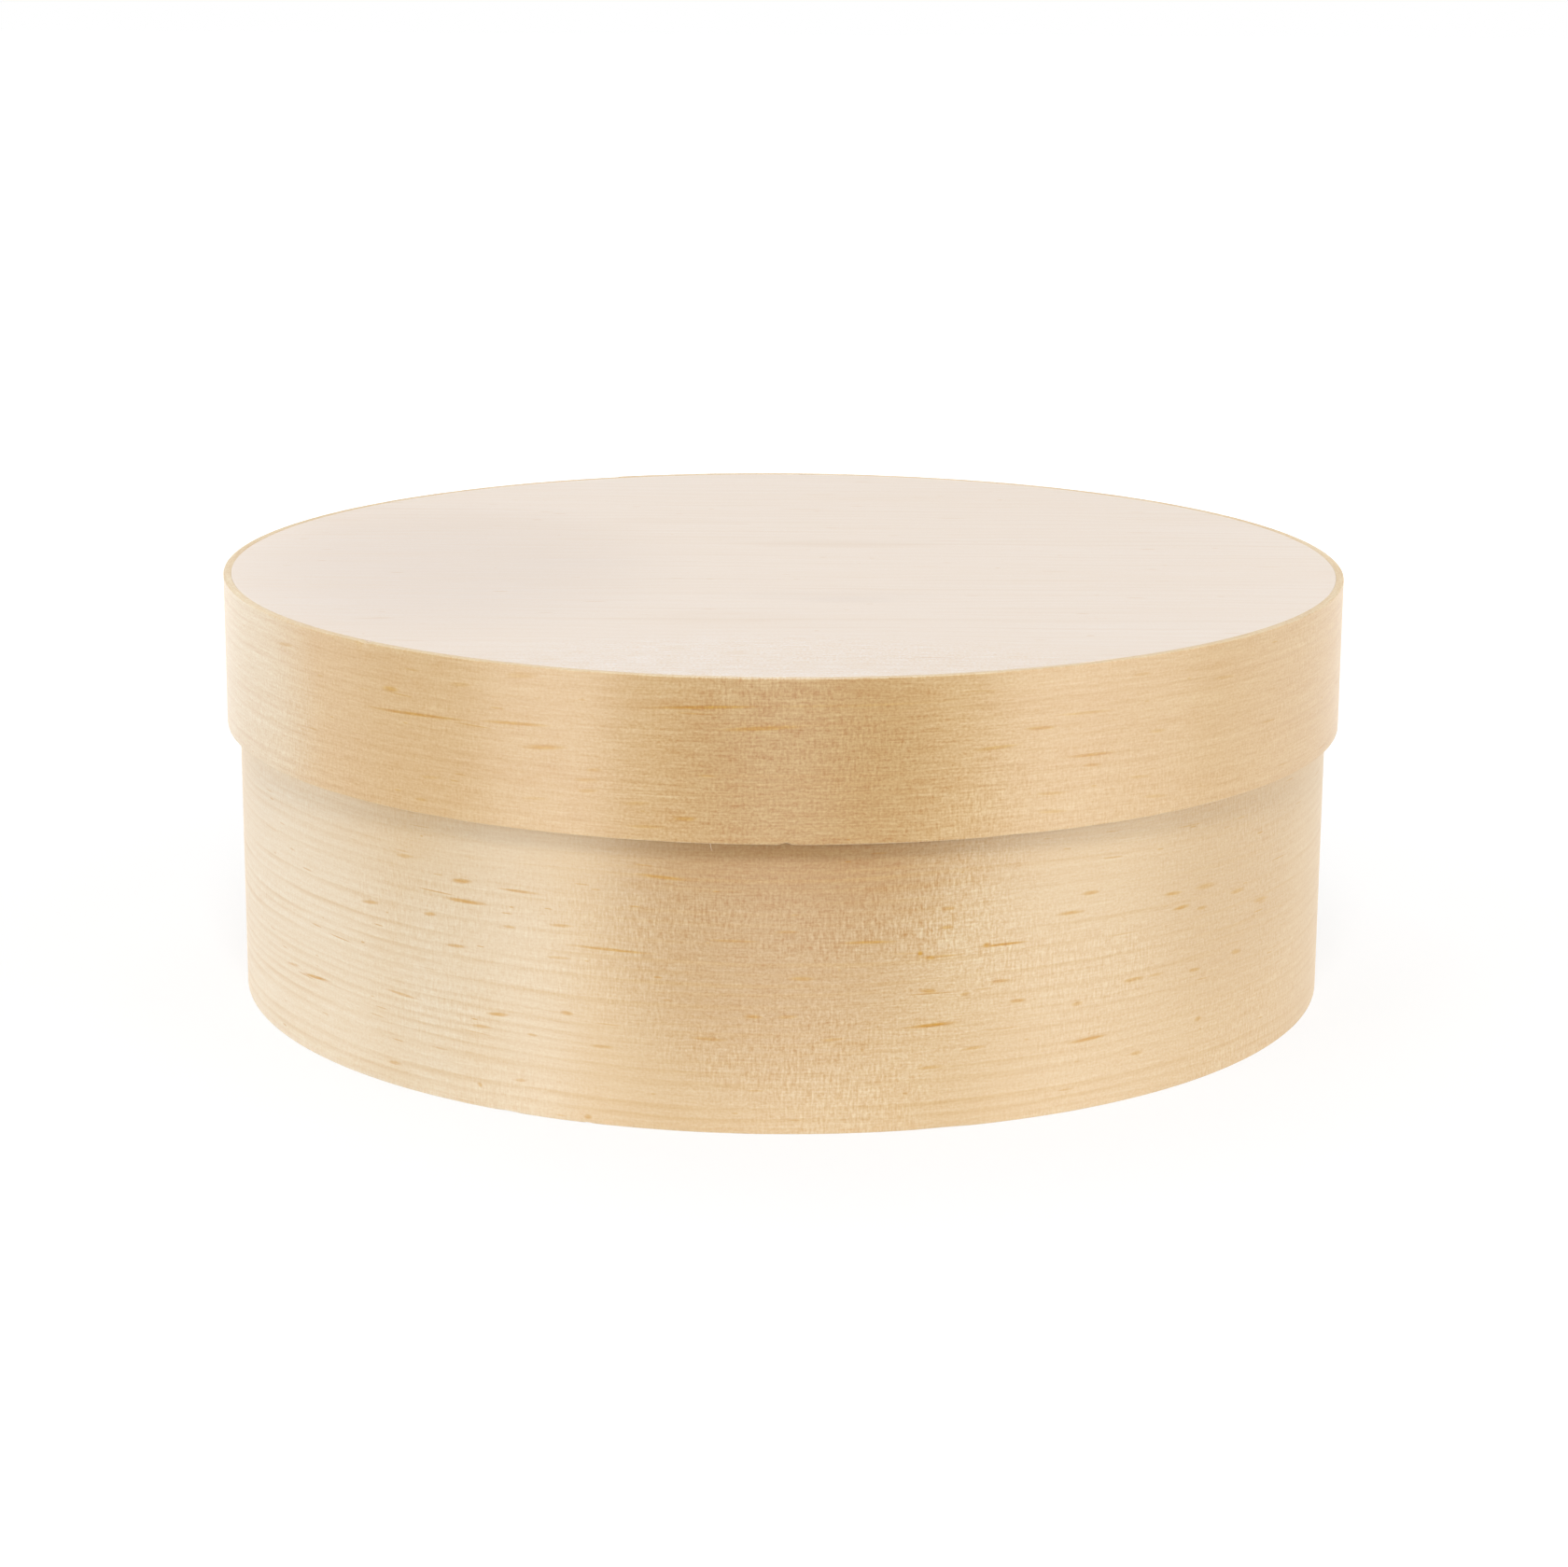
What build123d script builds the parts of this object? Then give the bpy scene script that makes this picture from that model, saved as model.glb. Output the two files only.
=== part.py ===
from build123d import *
import os
from math import cos, degrees, radians, sin

# Round bentwood box with a push-on lid. Lengths are in millimetres and angles in degrees.
# The origin is the centre of the underside, +Z is up and the front is -Y.
# Both strips close in a glued and stapled lap joint at the back, +Y.

# Sizes of the whole box
LID_DIAMETER = 160.0
BOX_HEIGHT = 60.0
LID_HEIGHT = 21.3

# The stock that it is made from
VENEER_THICKNESS = 1.1
LID_DISC_THICKNESS = 2.5
BASE_DISC_THICKNESS = 2.5

# Fits
LID_CLEARANCE = 0.7
GLUE_LINE = 0.1
STAPLE_CLEARANCE = 0.04

# Sanded corners
DISC_ROUNDING = 0.15

# The lap joint, where the skived ends of a strip lie on each other
LAP_LENGTH = 30.0
SKIVED_TIP_THICKNESS = 0.2
LAP_RUN_UP = 14.0
LID_SEAM_ANGLE = 9.0
WALL_SEAM_ANGLE = 0.0

# The staples, bent from flat wire and driven through the lap
WIRE_WIDTH = 0.9
WIRE_THICKNESS = 0.4
WIRE_PROUD = 0.05
STAPLE_CROWN = 7.0
STAPLE_CLINCH_GAP = 1.6
STAPLE_INNER_BEND = 0.25
STAPLE_ROW_OFFSET = 4.0
LID_STAPLE_BOTTOM_MARGIN = 4.9
LID_STAPLE_TOP_MARGIN = 4.7
LID_STAPLE_LEAST_SPACING = 8.0
WALL_STAPLE_BOTTOM_MARGIN = 9.5
WALL_STAPLE_TOP_MARGIN = 10.0
WALL_STAPLE_LEAST_SPACING = 18.0

# Shares, angles and the upward direction
BEND_LIMIT_SHARE = 0.4
FULL_TURN = 360.0
BACK_ANGLE = 90.0
UP = Vector(0, 0, 1)

# Radii and heights that follow from the sizes above
LID_OUTER_RADIUS = LID_DIAMETER / 2
LID_INNER_RADIUS = LID_OUTER_RADIUS - VENEER_THICKNESS
WALL_OUTER_RADIUS = LID_INNER_RADIUS - LID_CLEARANCE
WALL_INNER_RADIUS = WALL_OUTER_RADIUS - VENEER_THICKNESS
WALL_HEIGHT = BOX_HEIGHT - LID_DISC_THICKNESS
LID_BAND_BOTTOM = BOX_HEIGHT - LID_HEIGHT
LAP_THICKNESS = VENEER_THICKNESS + GLUE_LINE + SKIVED_TIP_THICKNESS


def direction(angle):
    """Unit vector in plan, the angle counted anticlockwise from the back's centre line."""
    turned = radians(BACK_ANGLE + angle)
    return Vector(cos(turned), sin(turned))


def bend(start_radius, end_radius, start_angle, end_angle):
    """An arc about the box's axis whose radius may grow or shrink a little on the way."""
    middle_radius = (start_radius + end_radius) / 2
    middle_angle = (start_angle + end_angle) / 2
    return ThreePointArc(
        direction(start_angle) * start_radius,
        direction(middle_angle) * middle_radius,
        direction(end_angle) * end_radius,
    )


def step(start_radius, end_radius, angle):
    """The square end of a skived strip."""
    return Line(direction(angle) * start_radius, direction(angle) * end_radius)


def strip(inner_radius, height, seam_angle):
    """A veneer strip bent into a ring, its skived start under its skived end."""
    outer_radius = inner_radius + VENEER_THICKNESS
    rise = SKIVED_TIP_THICKNESS + GLUE_LINE
    half_lap = degrees(LAP_LENGTH / outer_radius) / 2
    run_up = degrees(LAP_RUN_UP / outer_radius)

    lap_start = seam_angle - half_lap
    lap_end = seam_angle + half_lap
    second_start = lap_start + FULL_TURN
    second_end = lap_end + FULL_TURN
    climb_start = second_start - run_up

    start_tip = inner_radius + SKIVED_TIP_THICKNESS
    outside = [
        step(inner_radius, start_tip, lap_start),
        bend(start_tip, outer_radius, lap_start, lap_end),
        bend(outer_radius, outer_radius, lap_end, climb_start),
        bend(outer_radius, outer_radius + rise, climb_start, second_start),
        bend(outer_radius + rise, outer_radius + rise, second_start, second_end),
    ]
    inside = [
        step(outer_radius + rise, outer_radius + GLUE_LINE, second_end),
        bend(outer_radius + GLUE_LINE, inner_radius + rise, second_end, second_start),
        bend(inner_radius + rise, inner_radius, second_start, climb_start),
        bend(inner_radius, inner_radius, climb_start, lap_start),
    ]
    return extrude(make_face(outside + inside), amount=height)


def staple(inner_radius, seam_angle, height, growth):
    """One staple: its crown outside, its legs through the lap and its ends clinched inside."""
    depth = LAP_THICKNESS + WIRE_PROUD * 2
    hollow = depth - WIRE_THICKNESS * 2
    inner_bend = min(STAPLE_INNER_BEND, hollow * BEND_LIMIT_SHARE)
    around = RectangleRounded(
        depth + growth * 2,
        STAPLE_CROWN + growth * 2,
        inner_bend + WIRE_THICKNESS + growth,
    )
    within = RectangleRounded(
        hollow - growth * 2,
        STAPLE_CROWN - WIRE_THICKNESS * 2 - growth * 2,
        inner_bend - growth,
    )
    clinch_middle = (depth - WIRE_THICKNESS) / 2
    between_ends = Pos(-clinch_middle, 0) * Rectangle(
        WIRE_THICKNESS + growth * 4,
        STAPLE_CLINCH_GAP - growth * 2,
    )
    profile = around - within - between_ends

    row_angle = seam_angle + degrees(STAPLE_ROW_OFFSET / inner_radius)
    outward = direction(row_angle)
    middle = outward * (inner_radius + LAP_THICKNESS / 2) + UP * height
    side = Plane(origin=middle, x_dir=outward, z_dir=outward.cross(UP))
    return extrude(side * profile, amount=WIRE_WIDTH / 2 + growth, both=True)


def staple_heights(lowest, highest, least_spacing):
    """Heights of a row's staples: as many as fit, spread evenly between two heights."""
    gaps = int((highest - lowest) // least_spacing)
    if gaps < 1:
        return [(lowest + highest) / 2]
    return [lowest + (highest - lowest) * place / gaps for place in range(gaps + 1)]


def staple_row(inner_radius, seam_angle, heights, growth):
    """The staples of one lap joint, or the pockets for them if they are grown."""
    return [staple(inner_radius, seam_angle, height, growth) for height in heights]


def disc(radius, thickness, height):
    """A flat wooden disc with lightly sanded edges, standing on the given height."""
    blank = Cylinder(radius, thickness, align=(Align.CENTER, Align.CENTER, Align.MIN))
    rims = blank.edges().filter_by(GeomType.CIRCLE)
    return Pos(0, 0, height) * fillet(rims, min(DISC_ROUNDING, thickness * BEND_LIMIT_SHARE))


def stapled_strip(inner_radius, bottom, height, seam_angle, heights):
    """A strip standing on the given height, with pockets for its staples."""
    ring = Pos(0, 0, bottom) * strip(inner_radius, height, seam_angle)
    for pocket in staple_row(inner_radius, seam_angle, heights, STAPLE_CLEARANCE):
        ring = ring - pocket
    return ring


# Heights of the staples' middles, below the lid disc and above the box's underside
lid_staple_heights = staple_heights(
    LID_BAND_BOTTOM + LID_STAPLE_BOTTOM_MARGIN,
    WALL_HEIGHT - LID_STAPLE_TOP_MARGIN,
    LID_STAPLE_LEAST_SPACING,
)
wall_staple_heights = staple_heights(
    WALL_STAPLE_BOTTOM_MARGIN,
    WALL_HEIGHT - WALL_STAPLE_TOP_MARGIN,
    WALL_STAPLE_LEAST_SPACING,
)

# The lid
lid_disc = disc(LID_INNER_RADIUS - GLUE_LINE, LID_DISC_THICKNESS, WALL_HEIGHT)
lid_band = stapled_strip(
    LID_INNER_RADIUS, LID_BAND_BOTTOM, LID_HEIGHT, LID_SEAM_ANGLE, lid_staple_heights
)
lid_staples = staple_row(LID_INNER_RADIUS, LID_SEAM_ANGLE, lid_staple_heights, 0)

# The box body
base_disc = disc(WALL_INNER_RADIUS - GLUE_LINE, BASE_DISC_THICKNESS, 0)
body_wall = stapled_strip(
    WALL_INNER_RADIUS, 0, WALL_HEIGHT, WALL_SEAM_ANGLE, wall_staple_heights
)
body_staples = staple_row(WALL_INNER_RADIUS, WALL_SEAM_ANGLE, wall_staple_heights, 0)

nodes = {
    "lid_disc": [lid_disc],
    "lid_band": [lid_band],
    "lid_staples": lid_staples,
    "base_disc": [base_disc],
    "body_wall": [body_wall],
    "body_staples": body_staples,
}

os.makedirs("parts", exist_ok=True)
for name, shapes in nodes.items():
    solids = [solid for shape in shapes for solid in shape.solids()]
    whole = solids[0] if len(solids) == 1 else Compound(children=solids)
    whole.label = name
    export_step(whole, f"parts/{name}.step")
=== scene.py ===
"""Round bentwood cheese box with a push-on lid, in bare wood veneer.

Lengths are in metres unless a name says millimetres. The origin is the centre of the underside, +Z is up,
the front is -Y, and the lap joints of both veneer strips are at the back, +Y.
"""

import math
from collections import namedtuple
from types import SimpleNamespace

import bmesh
import bpy
from bpy.props import FloatProperty, FloatVectorProperty, IntProperty, PointerProperty
from mathutils import Matrix, Vector, noise


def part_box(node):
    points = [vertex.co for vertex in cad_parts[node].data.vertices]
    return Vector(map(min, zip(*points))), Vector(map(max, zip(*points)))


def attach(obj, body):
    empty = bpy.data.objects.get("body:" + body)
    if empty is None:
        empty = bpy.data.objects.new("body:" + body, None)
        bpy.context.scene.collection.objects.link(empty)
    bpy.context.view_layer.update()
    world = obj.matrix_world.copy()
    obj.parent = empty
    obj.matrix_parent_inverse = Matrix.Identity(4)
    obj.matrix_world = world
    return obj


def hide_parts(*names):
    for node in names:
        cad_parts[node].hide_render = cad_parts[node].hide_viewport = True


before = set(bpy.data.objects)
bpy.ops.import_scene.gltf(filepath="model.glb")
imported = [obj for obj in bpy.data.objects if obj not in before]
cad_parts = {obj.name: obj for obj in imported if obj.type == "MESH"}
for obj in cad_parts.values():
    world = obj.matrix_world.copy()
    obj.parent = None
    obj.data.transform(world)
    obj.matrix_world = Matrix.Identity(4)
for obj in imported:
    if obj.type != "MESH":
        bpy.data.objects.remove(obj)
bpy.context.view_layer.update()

bl_info = {
    "name": "Cheese box",
    "version": (1, 0, 0),
    "blender": (4, 5, 0),
    "location": "3D View > Sidebar > Cheese box",
    "description": "A round bentwood cheese box with a push-on lid",
    "category": "Object",
}

MM = 0.001
GRAIN_MAP = "grain"

# The strips are made this much smaller than the solids, so that they stay inside them
INSET = 0.02 * MM

# The photograph's frame, in pixels
PHOTO_WIDTH = 1680
PHOTO_HEIGHT = 1679
SENSOR_WIDTH_MM = 36.0

# Helper attributes that the strip's tree leaves on its mesh
ALONG = "share_along"
ACROSS = "place_across"

# An attribute that is 1 on the cut edges of a strip and 0 on its faces, and three for wide soft patches:
# painted shade with some warmer wood, painted sheen, and raised fibres
CUT_EDGE = "cut_edge"
WARM_WOOD_AND_SHADE = "warm_wood"
PAINTED_SHEEN = "pale_wood"
RAISED_FIBRES = "raised_fibres"

BAND_LOW, BAND_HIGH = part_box("lid_band")
WALL_LOW, WALL_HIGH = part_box("body_wall")
LID_DISC_LOW, LID_DISC_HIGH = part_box("lid_disc")
BASE_DISC_LOW, BASE_DISC_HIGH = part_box("base_disc")
BAND_RADIUS = (BAND_HIGH.x - BAND_LOW.x) / 2 - INSET
WALL_RADIUS = (WALL_HIGH.x - WALL_LOW.x) / 2 - INSET

# A mark's oval is drawn this much longer and wider than the mark, because it fades towards its rim
FADE_LENGTH = 1.45
FADE_WIDTH = 2.6

# A soft patch has faded out where the square of the way to its rim reaches this share
PATCH_FADE_SHARE = 1.5

# A mark seen in the photograph: its two ends in pixels, its width in millimetres and how strong it is
Mark = namedtuple("Mark", "left left_level right right_level width strength")

BAND_MARKS = (
    Mark(400, 758, 496, 772, 0.22, 0.85),
    Mark(521, 773, 586, 778, 0.24, 0.85),
    Mark(561, 800, 604, 801, 0.34, 0.75),
    Mark(410, 737, 426, 739, 0.42, 0.7),
    Mark(298, 689, 313, 692, 0.3, 0.5),
    Mark(544, 723, 573, 724, 0.5, 0.35),
    Mark(482, 733, 504, 734, 0.3, 0.35),
    Mark(628, 825, 644, 825, 0.26, 0.5),
    Mark(616, 835, 640, 836, 0.26, 0.45),
    Mark(620, 847, 640, 847, 0.26, 0.45),
    Mark(445, 856, 458, 858, 0.24, 0.45),
    Mark(450, 832, 470, 834, 0.22, 0.35),
    Mark(560, 855, 586, 856, 0.22, 0.3),
    Mark(666, 861, 696, 861, 0.26, 0.4),
    Mark(722, 877, 746, 877, 0.3, 0.65),
    Mark(673, 885, 712, 886, 0.24, 0.45),
    Mark(701, 758, 812, 757, 0.24, 0.85),
    Mark(777, 782, 855, 779, 0.32, 0.75),
    Mark(812, 757, 1010, 752, 0.2, 0.25),
    Mark(1046, 804, 1090, 798, 0.24, 0.6),
    Mark(1100, 781, 1130, 779, 0.26, 0.75),
    Mark(1136, 766, 1190, 761, 0.22, 0.5),
    Mark(1146, 811, 1192, 806, 0.24, 0.85),
    Mark(1161, 820, 1179, 819, 0.24, 0.65),
    Mark(1111, 851, 1141, 849, 0.24, 0.5),
    Mark(1112, 870, 1142, 869, 0.24, 0.45),
    Mark(1210, 833, 1232, 831, 0.22, 0.35),
    Mark(1225, 854, 1250, 852, 0.24, 0.35),
    Mark(1232, 784, 1249, 782, 0.26, 0.4),
    Mark(1214, 724, 1233, 721, 0.24, 0.35),
    Mark(1302, 727, 1322, 724, 0.22, 0.35),
)

WALL_MARKS = (
    Mark(425, 916, 442, 918, 0.3, 0.45),
    Mark(484, 943, 505, 945, 0.34, 0.7),
    Mark(478, 962, 520, 969, 0.28, 0.75),
    Mark(388, 965, 406, 968, 0.28, 0.6),
    Mark(454, 979, 467, 980, 0.3, 0.6),
    Mark(535, 952, 578, 958, 0.2, 0.65),
    Mark(540, 992, 553, 994, 0.22, 0.5),
    Mark(589, 991, 613, 993, 0.24, 0.55),
    Mark(478, 1012, 500, 1015, 0.24, 0.55),
    Mark(613, 1013, 695, 1022, 0.22, 0.75),
    Mark(586, 1025, 610, 1027, 0.24, 0.45),
    Mark(326, 1043, 352, 1051, 0.24, 0.85),
    Mark(308, 1031, 321, 1035, 0.22, 0.45),
    Mark(416, 1060, 446, 1070, 0.24, 0.55),
    Mark(522, 1086, 544, 1088, 0.28, 0.75),
    Mark(601, 1084, 614, 1086, 0.3, 0.65),
    Mark(506, 1098, 526, 1101, 0.26, 0.45),
    Mark(565, 1108, 576, 1110, 0.22, 0.45),
    Mark(416, 1137, 430, 1140, 0.3, 0.5),
    Mark(634, 1120, 656, 1122, 0.24, 0.5),
    Mark(551, 1157, 564, 1158, 0.26, 0.45),
    Mark(626, 1196, 634, 1197, 0.36, 0.6),
    Mark(512, 1160, 517, 1164, 0.3, 0.6),
    Mark(684, 937, 735, 943, 0.26, 0.7),
    Mark(832, 999, 855, 999, 0.22, 0.45),
    Mark(761, 1007, 812, 1009, 0.2, 0.5),
    Mark(902, 1011, 958, 1009, 0.22, 0.7),
    Mark(919, 1010, 941, 1010, 0.26, 0.6),
    Mark(1052, 1014, 1099, 1009, 0.2, 1.0),
    Mark(1053, 1013, 1062, 1012, 0.36, 0.9),
    Mark(983, 1021, 989, 1021, 0.34, 1.0),
    Mark(980, 1026, 1032, 1022, 0.2, 0.55),
    Mark(990, 1026, 1004, 1025, 0.28, 0.8),
    Mark(1008, 974, 1024, 973, 0.26, 0.5),
    Mark(1007, 994, 1022, 993, 0.26, 0.6),
    Mark(846, 1049, 872, 1049, 0.28, 0.55),
    Mark(986, 1062, 1004, 1062, 0.28, 0.65),
    Mark(1029, 1066, 1039, 1064, 0.24, 0.55),
    Mark(1062, 1052, 1082, 1050, 0.26, 0.55),
    Mark(798, 1089, 816, 1090, 0.28, 0.65),
    Mark(834, 1090, 854, 1089, 0.26, 0.45),
    Mark(973, 1101, 1024, 1095, 0.26, 0.9),
    Mark(742, 1112, 778, 1115, 0.26, 0.5),
    Mark(879, 1115, 905, 1113, 0.24, 0.45),
    Mark(1031, 1125, 1056, 1121, 0.24, 0.55),
    Mark(983, 1145, 1010, 1142, 0.24, 0.45),
    Mark(1134, 980, 1161, 976, 0.26, 0.65),
    Mark(1160, 958, 1178, 955, 0.3, 0.65),
    Mark(1248, 959, 1266, 956, 0.28, 0.65),
    Mark(1257, 975, 1274, 970, 0.28, 0.75),
    Mark(1282, 974, 1293, 971, 0.28, 0.5),
    Mark(1281, 952, 1302, 947, 0.4, 0.45),
    Mark(1318, 957, 1333, 952, 0.34, 0.5),
    Mark(1343, 966, 1358, 961, 0.34, 0.5),
    Mark(1319, 1021, 1329, 1018, 0.34, 0.55),
    Mark(1274, 1040, 1285, 1038, 0.26, 0.65),
    Mark(1203, 1052, 1226, 1047, 0.3, 0.65),
    Mark(1230, 1046, 1246, 1043, 0.24, 0.45),
    Mark(1082, 1073, 1099, 1071, 0.28, 0.65),
    Mark(1148, 1077, 1160, 1074, 0.3, 0.55),
    Mark(1147, 1117, 1184, 1109, 0.26, 0.85),
    Mark(1211, 1130, 1224, 1127, 0.3, 0.5),
    Mark(1280, 1093, 1287, 1090, 0.34, 0.55),
)

# Wide soft patches, where the wood has painted shade, painted sheen or another tone, or its fibres stand up
# more:
# their ends in pixels, their height on the wood in millimetres and how strong they are
BAND_PATCHES = {
    # Painted shade over the darker middle of the band's front, where the sheen is missing
    WARM_WOOD_AND_SHADE: (Mark(720, 820, 1010, 815, 40.0, 1.0),),
    # Painted sheen at the left end of the band's front
    PAINTED_SHEEN: (Mark(240, 740, 330, 760, 60.0, 1.0),),
    RAISED_FIBRES: (Mark(640, 820, 1100, 815, 36.0, 1.0),),
}
WALL_PATCHES = {
    WARM_WOOD_AND_SHADE: (
        # Painted shade over the middle of the wall's front
        Mark(640, 935, 1010, 933, 56.0, 1.0),
        # Painted shadow of the lid's edge, on the wall just under it
        Mark(660, 884, 1130, 880, 22.0, 0.6),
        # A warmer patch further right
        Mark(1220, 950, 1390, 900, 40.0, 0.35),
    ),
    # Painted sheen on the left of the wall's front
    PAINTED_SHEEN: (Mark(236, 1040, 480, 1090, 80.0, 1.0), Mark(430, 1080, 620, 1090, 60.0, 0.6)),
    RAISED_FIBRES: (Mark(650, 990, 1110, 985, 56.0, 1.8), Mark(1120, 1030, 1400, 1000, 60.0, 0.5)),
}
TOP_WARM_PATCHES = (
    Mark(790, 582, 1010, 583, 6.0, 0.6),
    Mark(700, 655, 860, 668, 9.0, 0.25),
    Mark(640, 560, 800, 556, 6.0, 0.25),
)
TOP_GREY_AND_SHADE_PATCHES = (
    Mark(790, 628, 1000, 648, 9.0, 0.6),
    Mark(860, 640, 960, 646, 5.0, 0.6),
    Mark(560, 600, 700, 606, 8.0, 0.3),
    # Painted shade over the left of the top disc
    Mark(200, 612, 700, 600, 100.0, 1.8),
)
TOP_ROUGH_PATCHES = (Mark(500, 712, 1180, 708, 34.0, 4.5),)

# A worn place on an edge: where it is in the photograph, +1 for an upper edge or -1 for a lower one,
# and its length, height and depth in millimetres
Chip = namedtuple("Chip", "pixel level edge length height depth")

BAND_CHIPS = (
    Chip(388, 690, 1, 0.9, 0.2, 0.25),
    Chip(842, 907, -1, 0.9, 0.26, 0.1),
    Chip(1085, 898, -1, 3.5, 0.07, 0.0),
    Chip(470, 862, -1, 4.5, 0.06, 0.0),
    Chip(1180, 700, 1, 3.5, 0.06, 0.05),
)
WALL_CHIPS = (
    Chip(545, 1190, -1, 2.0, 0.1, 0.0),
    Chip(630, 1197, -1, 0.7, 0.08, 0.05),
    Chip(1010, 1206, -1, 4.0, 0.07, 0.0),
)

# A softbox that stands on the floor: the directions from its first to its last side, in degrees from the
# front, counted to the right, the angles of its lower and upper edge above the floor, and its strength
Softbox = namedtuple("Softbox", "name first last low high strength")

SOFTBOXES = (
    Softbox("left light, inner", -43, -20, 3, 22, 2.0),
    Softbox("left light, outer", -58, -43, 3, 22, 1.6),
    Softbox("left light, high", -62, -34, 22, 42, 0.4),
    Softbox("right light, inner", 36, 48, 3, 22, 1.25),
    Softbox("right light, middle", 48, 64, 3, 22, 1.65),
    Softbox("right light, outer", 64, 86, 3, 22, 1.1),
    Softbox("right light, high", 44, 80, 22, 42, 0.3),
    Softbox("left side light", -128, -88, 0.5, 20, 0.5),
    Softbox("right side light", 92, 120, 0.5, 20, 0.3),
    Softbox("left rear light", -168, -128, 0.5, 25, 0.4),
    Softbox("right rear light", 125, 168, 0.5, 25, 0.2),
    Softbox("front light, high", -12, 12, 46, 64, 6.6),
)

# The light above the box: where it hangs, in shares of the lights' distance, and the length of its sides
OVERHEAD_PLACE_SHARES = Vector((-0.06, 0.23, 1.0))
OVERHEAD_SIZE_SHARE = 0.7

# The floor: how pale it is as light falls on it, how far the pool of light on it and its glow to the camera
# reach from the box's axis, and how much of its white the glow gives close to the box
FLOOR_SHARES = (0.84, 0.86)
SHOWN_FLOOR_SHARE = 0.25
POOL_REACH = (0.08, 0.22)
GLOW_REACH = (0.085, 0.33)
LEAST_GLOW_SHARE = 0.75

# The black cloth under and behind the camera, which lies on the floor up to where it stands upright
FLAG_FRONT = -0.33
FLAG_BACK = -0.8
FLAG_TOP = 0.75
FLAG_LEFT = -0.5
FLAG_RIGHT = 0.66
FLAG_FRONT_SHARE = 0.42
CLOTH_SHARES = (0.015, 0.03)

CAMERA_CLIP_START = 0.05

# How a strip's edges are rounded and worn. The waves are counted for each millimetre along the edge
ROUNDING_POINTS = 3
INNER_ROUNDING_SHARE = 0.25
SLOW_WAVES = 0.16
FAST_WAVES = 1.1
FAST_WAVES_SEED = 4.0
SLOW_WAVE_SHARE = 0.65
WEAR_SIDE_SEED = 7.3
WEAR_REACH = 1.2 * MM
CHIP_STEEPNESS = 1.5
CHIP_REACH_SHARE = 3
CUT_EDGE_SHARE = 0.2

# Faces that meet at more than this angle have a hard edge between them
SHARP_ANGLE = math.radians(40)

# The staples' wire: the points of its middle line, of each bend and of each rounded edge
WIRE_CORNERS = 6
BEND_POINTS = 5
WIRE_EDGE_POINTS = 2

# How the points lie on a disc, and how long and wide the low places in its faces are
DISC_SEGMENTS = 288
DISC_RINGS = 26
DISC_RIM_POINTS = 4
HOLLOW_LENGTH = 22 * MM
HOLLOW_WIDTH = 9 * MM

# A row of loose fibres: the angle that it takes of the round edge, its shortest and longest fibre, their
# thickness and number, and a random seed. One longer fibre hangs where the photograph shows it
FibreRow = namedtuple("FibreRow", "sweep shortest longest thickness count seed")

EDGE_FIBRES = FibreRow(2 * math.pi, 0.1 * MM, 0.35 * MM, 0.03 * MM, 70, 4)
HANGING_FIBRE = FibreRow(0.0, 1.2 * MM, 1.2 * MM, 0.07 * MM, 1, 9)
HANGING_FIBRE_PIXEL = 760
HANGING_FIBRE_LEVEL = 905

# How a fibre is rooted in the veneer, curls and thins out, and its most lean and turn in radians
FIBRE_DEPTH_SHARE = 0.4
FIBRE_POINTS = 7
FIBRE_SIDES = 5
FIBRE_CURL_SHARE = 0.14
FIBRE_TAPER_SHARE = 0.7
FIBRE_LEAN = 0.5
FIBRE_TURN = 6.0

# A layer of the grain's noise: the length and height of a feature in millimetres, a number that sets the
# layer apart, and how much fine detail it has
Layer = namedtuple("Layer", "length height seed detail roughness", defaults=(2.0, 0.5))

SLOW_DRIFT = Layer(70.0, 26.0, 0, 1.0)
QUICK_DRIFT = Layer(16.0, 5.0, 3, 1.0)
RING_FADING = Layer(26.0, 2.2, 9)
STREAKS = Layer(24.0, 0.9, 13, 3.0, 0.6)
FIBRES = Layer(4.0, 0.28, 17, 3.0, 0.65)
SPECKS = Layer(0.42, 0.32, 19, 2.0, 0.6)
TICKS = Layer(0.3, 1.5, 23, 2.0, 0.6)
TICK_PATCHES = Layer(30.0, 16.0, 29, 1.0)
MARK_BREAKS = Layer(1.4, 0.12, 41)
TONE_PATCHES = Layer(55.0, 20.0, 43)

# How the layers make the grain. A pair says from where to where a layer's values are spread from none to all,
# and a ring's pair does so along its share of the way to the next ring
QUICK_DRIFT_SHARE = 0.14
RING_PACE_HEIGHT = 6.0
RING_PACE_SEED = 5
RING_PACE_DETAIL = 1.0
RING_PACE_SWING = 2.2
LATE_WOOD_START = (0.25, 0.78)
LATE_WOOD_END = (0.8, 1.0)
RING_FADING_SHARES = (0.3, 0.7)
TICK_PATCH_SHARES = (0.35, 0.7)
MARK_BREAK_SHARES = (0.25, 0.6)
FAINTEST_RING_SHARE = 0.25
FAINTEST_TICK_SHARE = 0.25
FAINTEST_MARK_SHARE = 0.55

# Chance resin streaks: the cell that holds at most one, the longest, their width, the seed and how common
# they are. The waver of the seen marks and the fray of a patch's edge are in millimetres
Dashes = namedtuple("Dashes", "length height longest width seed share")

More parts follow.
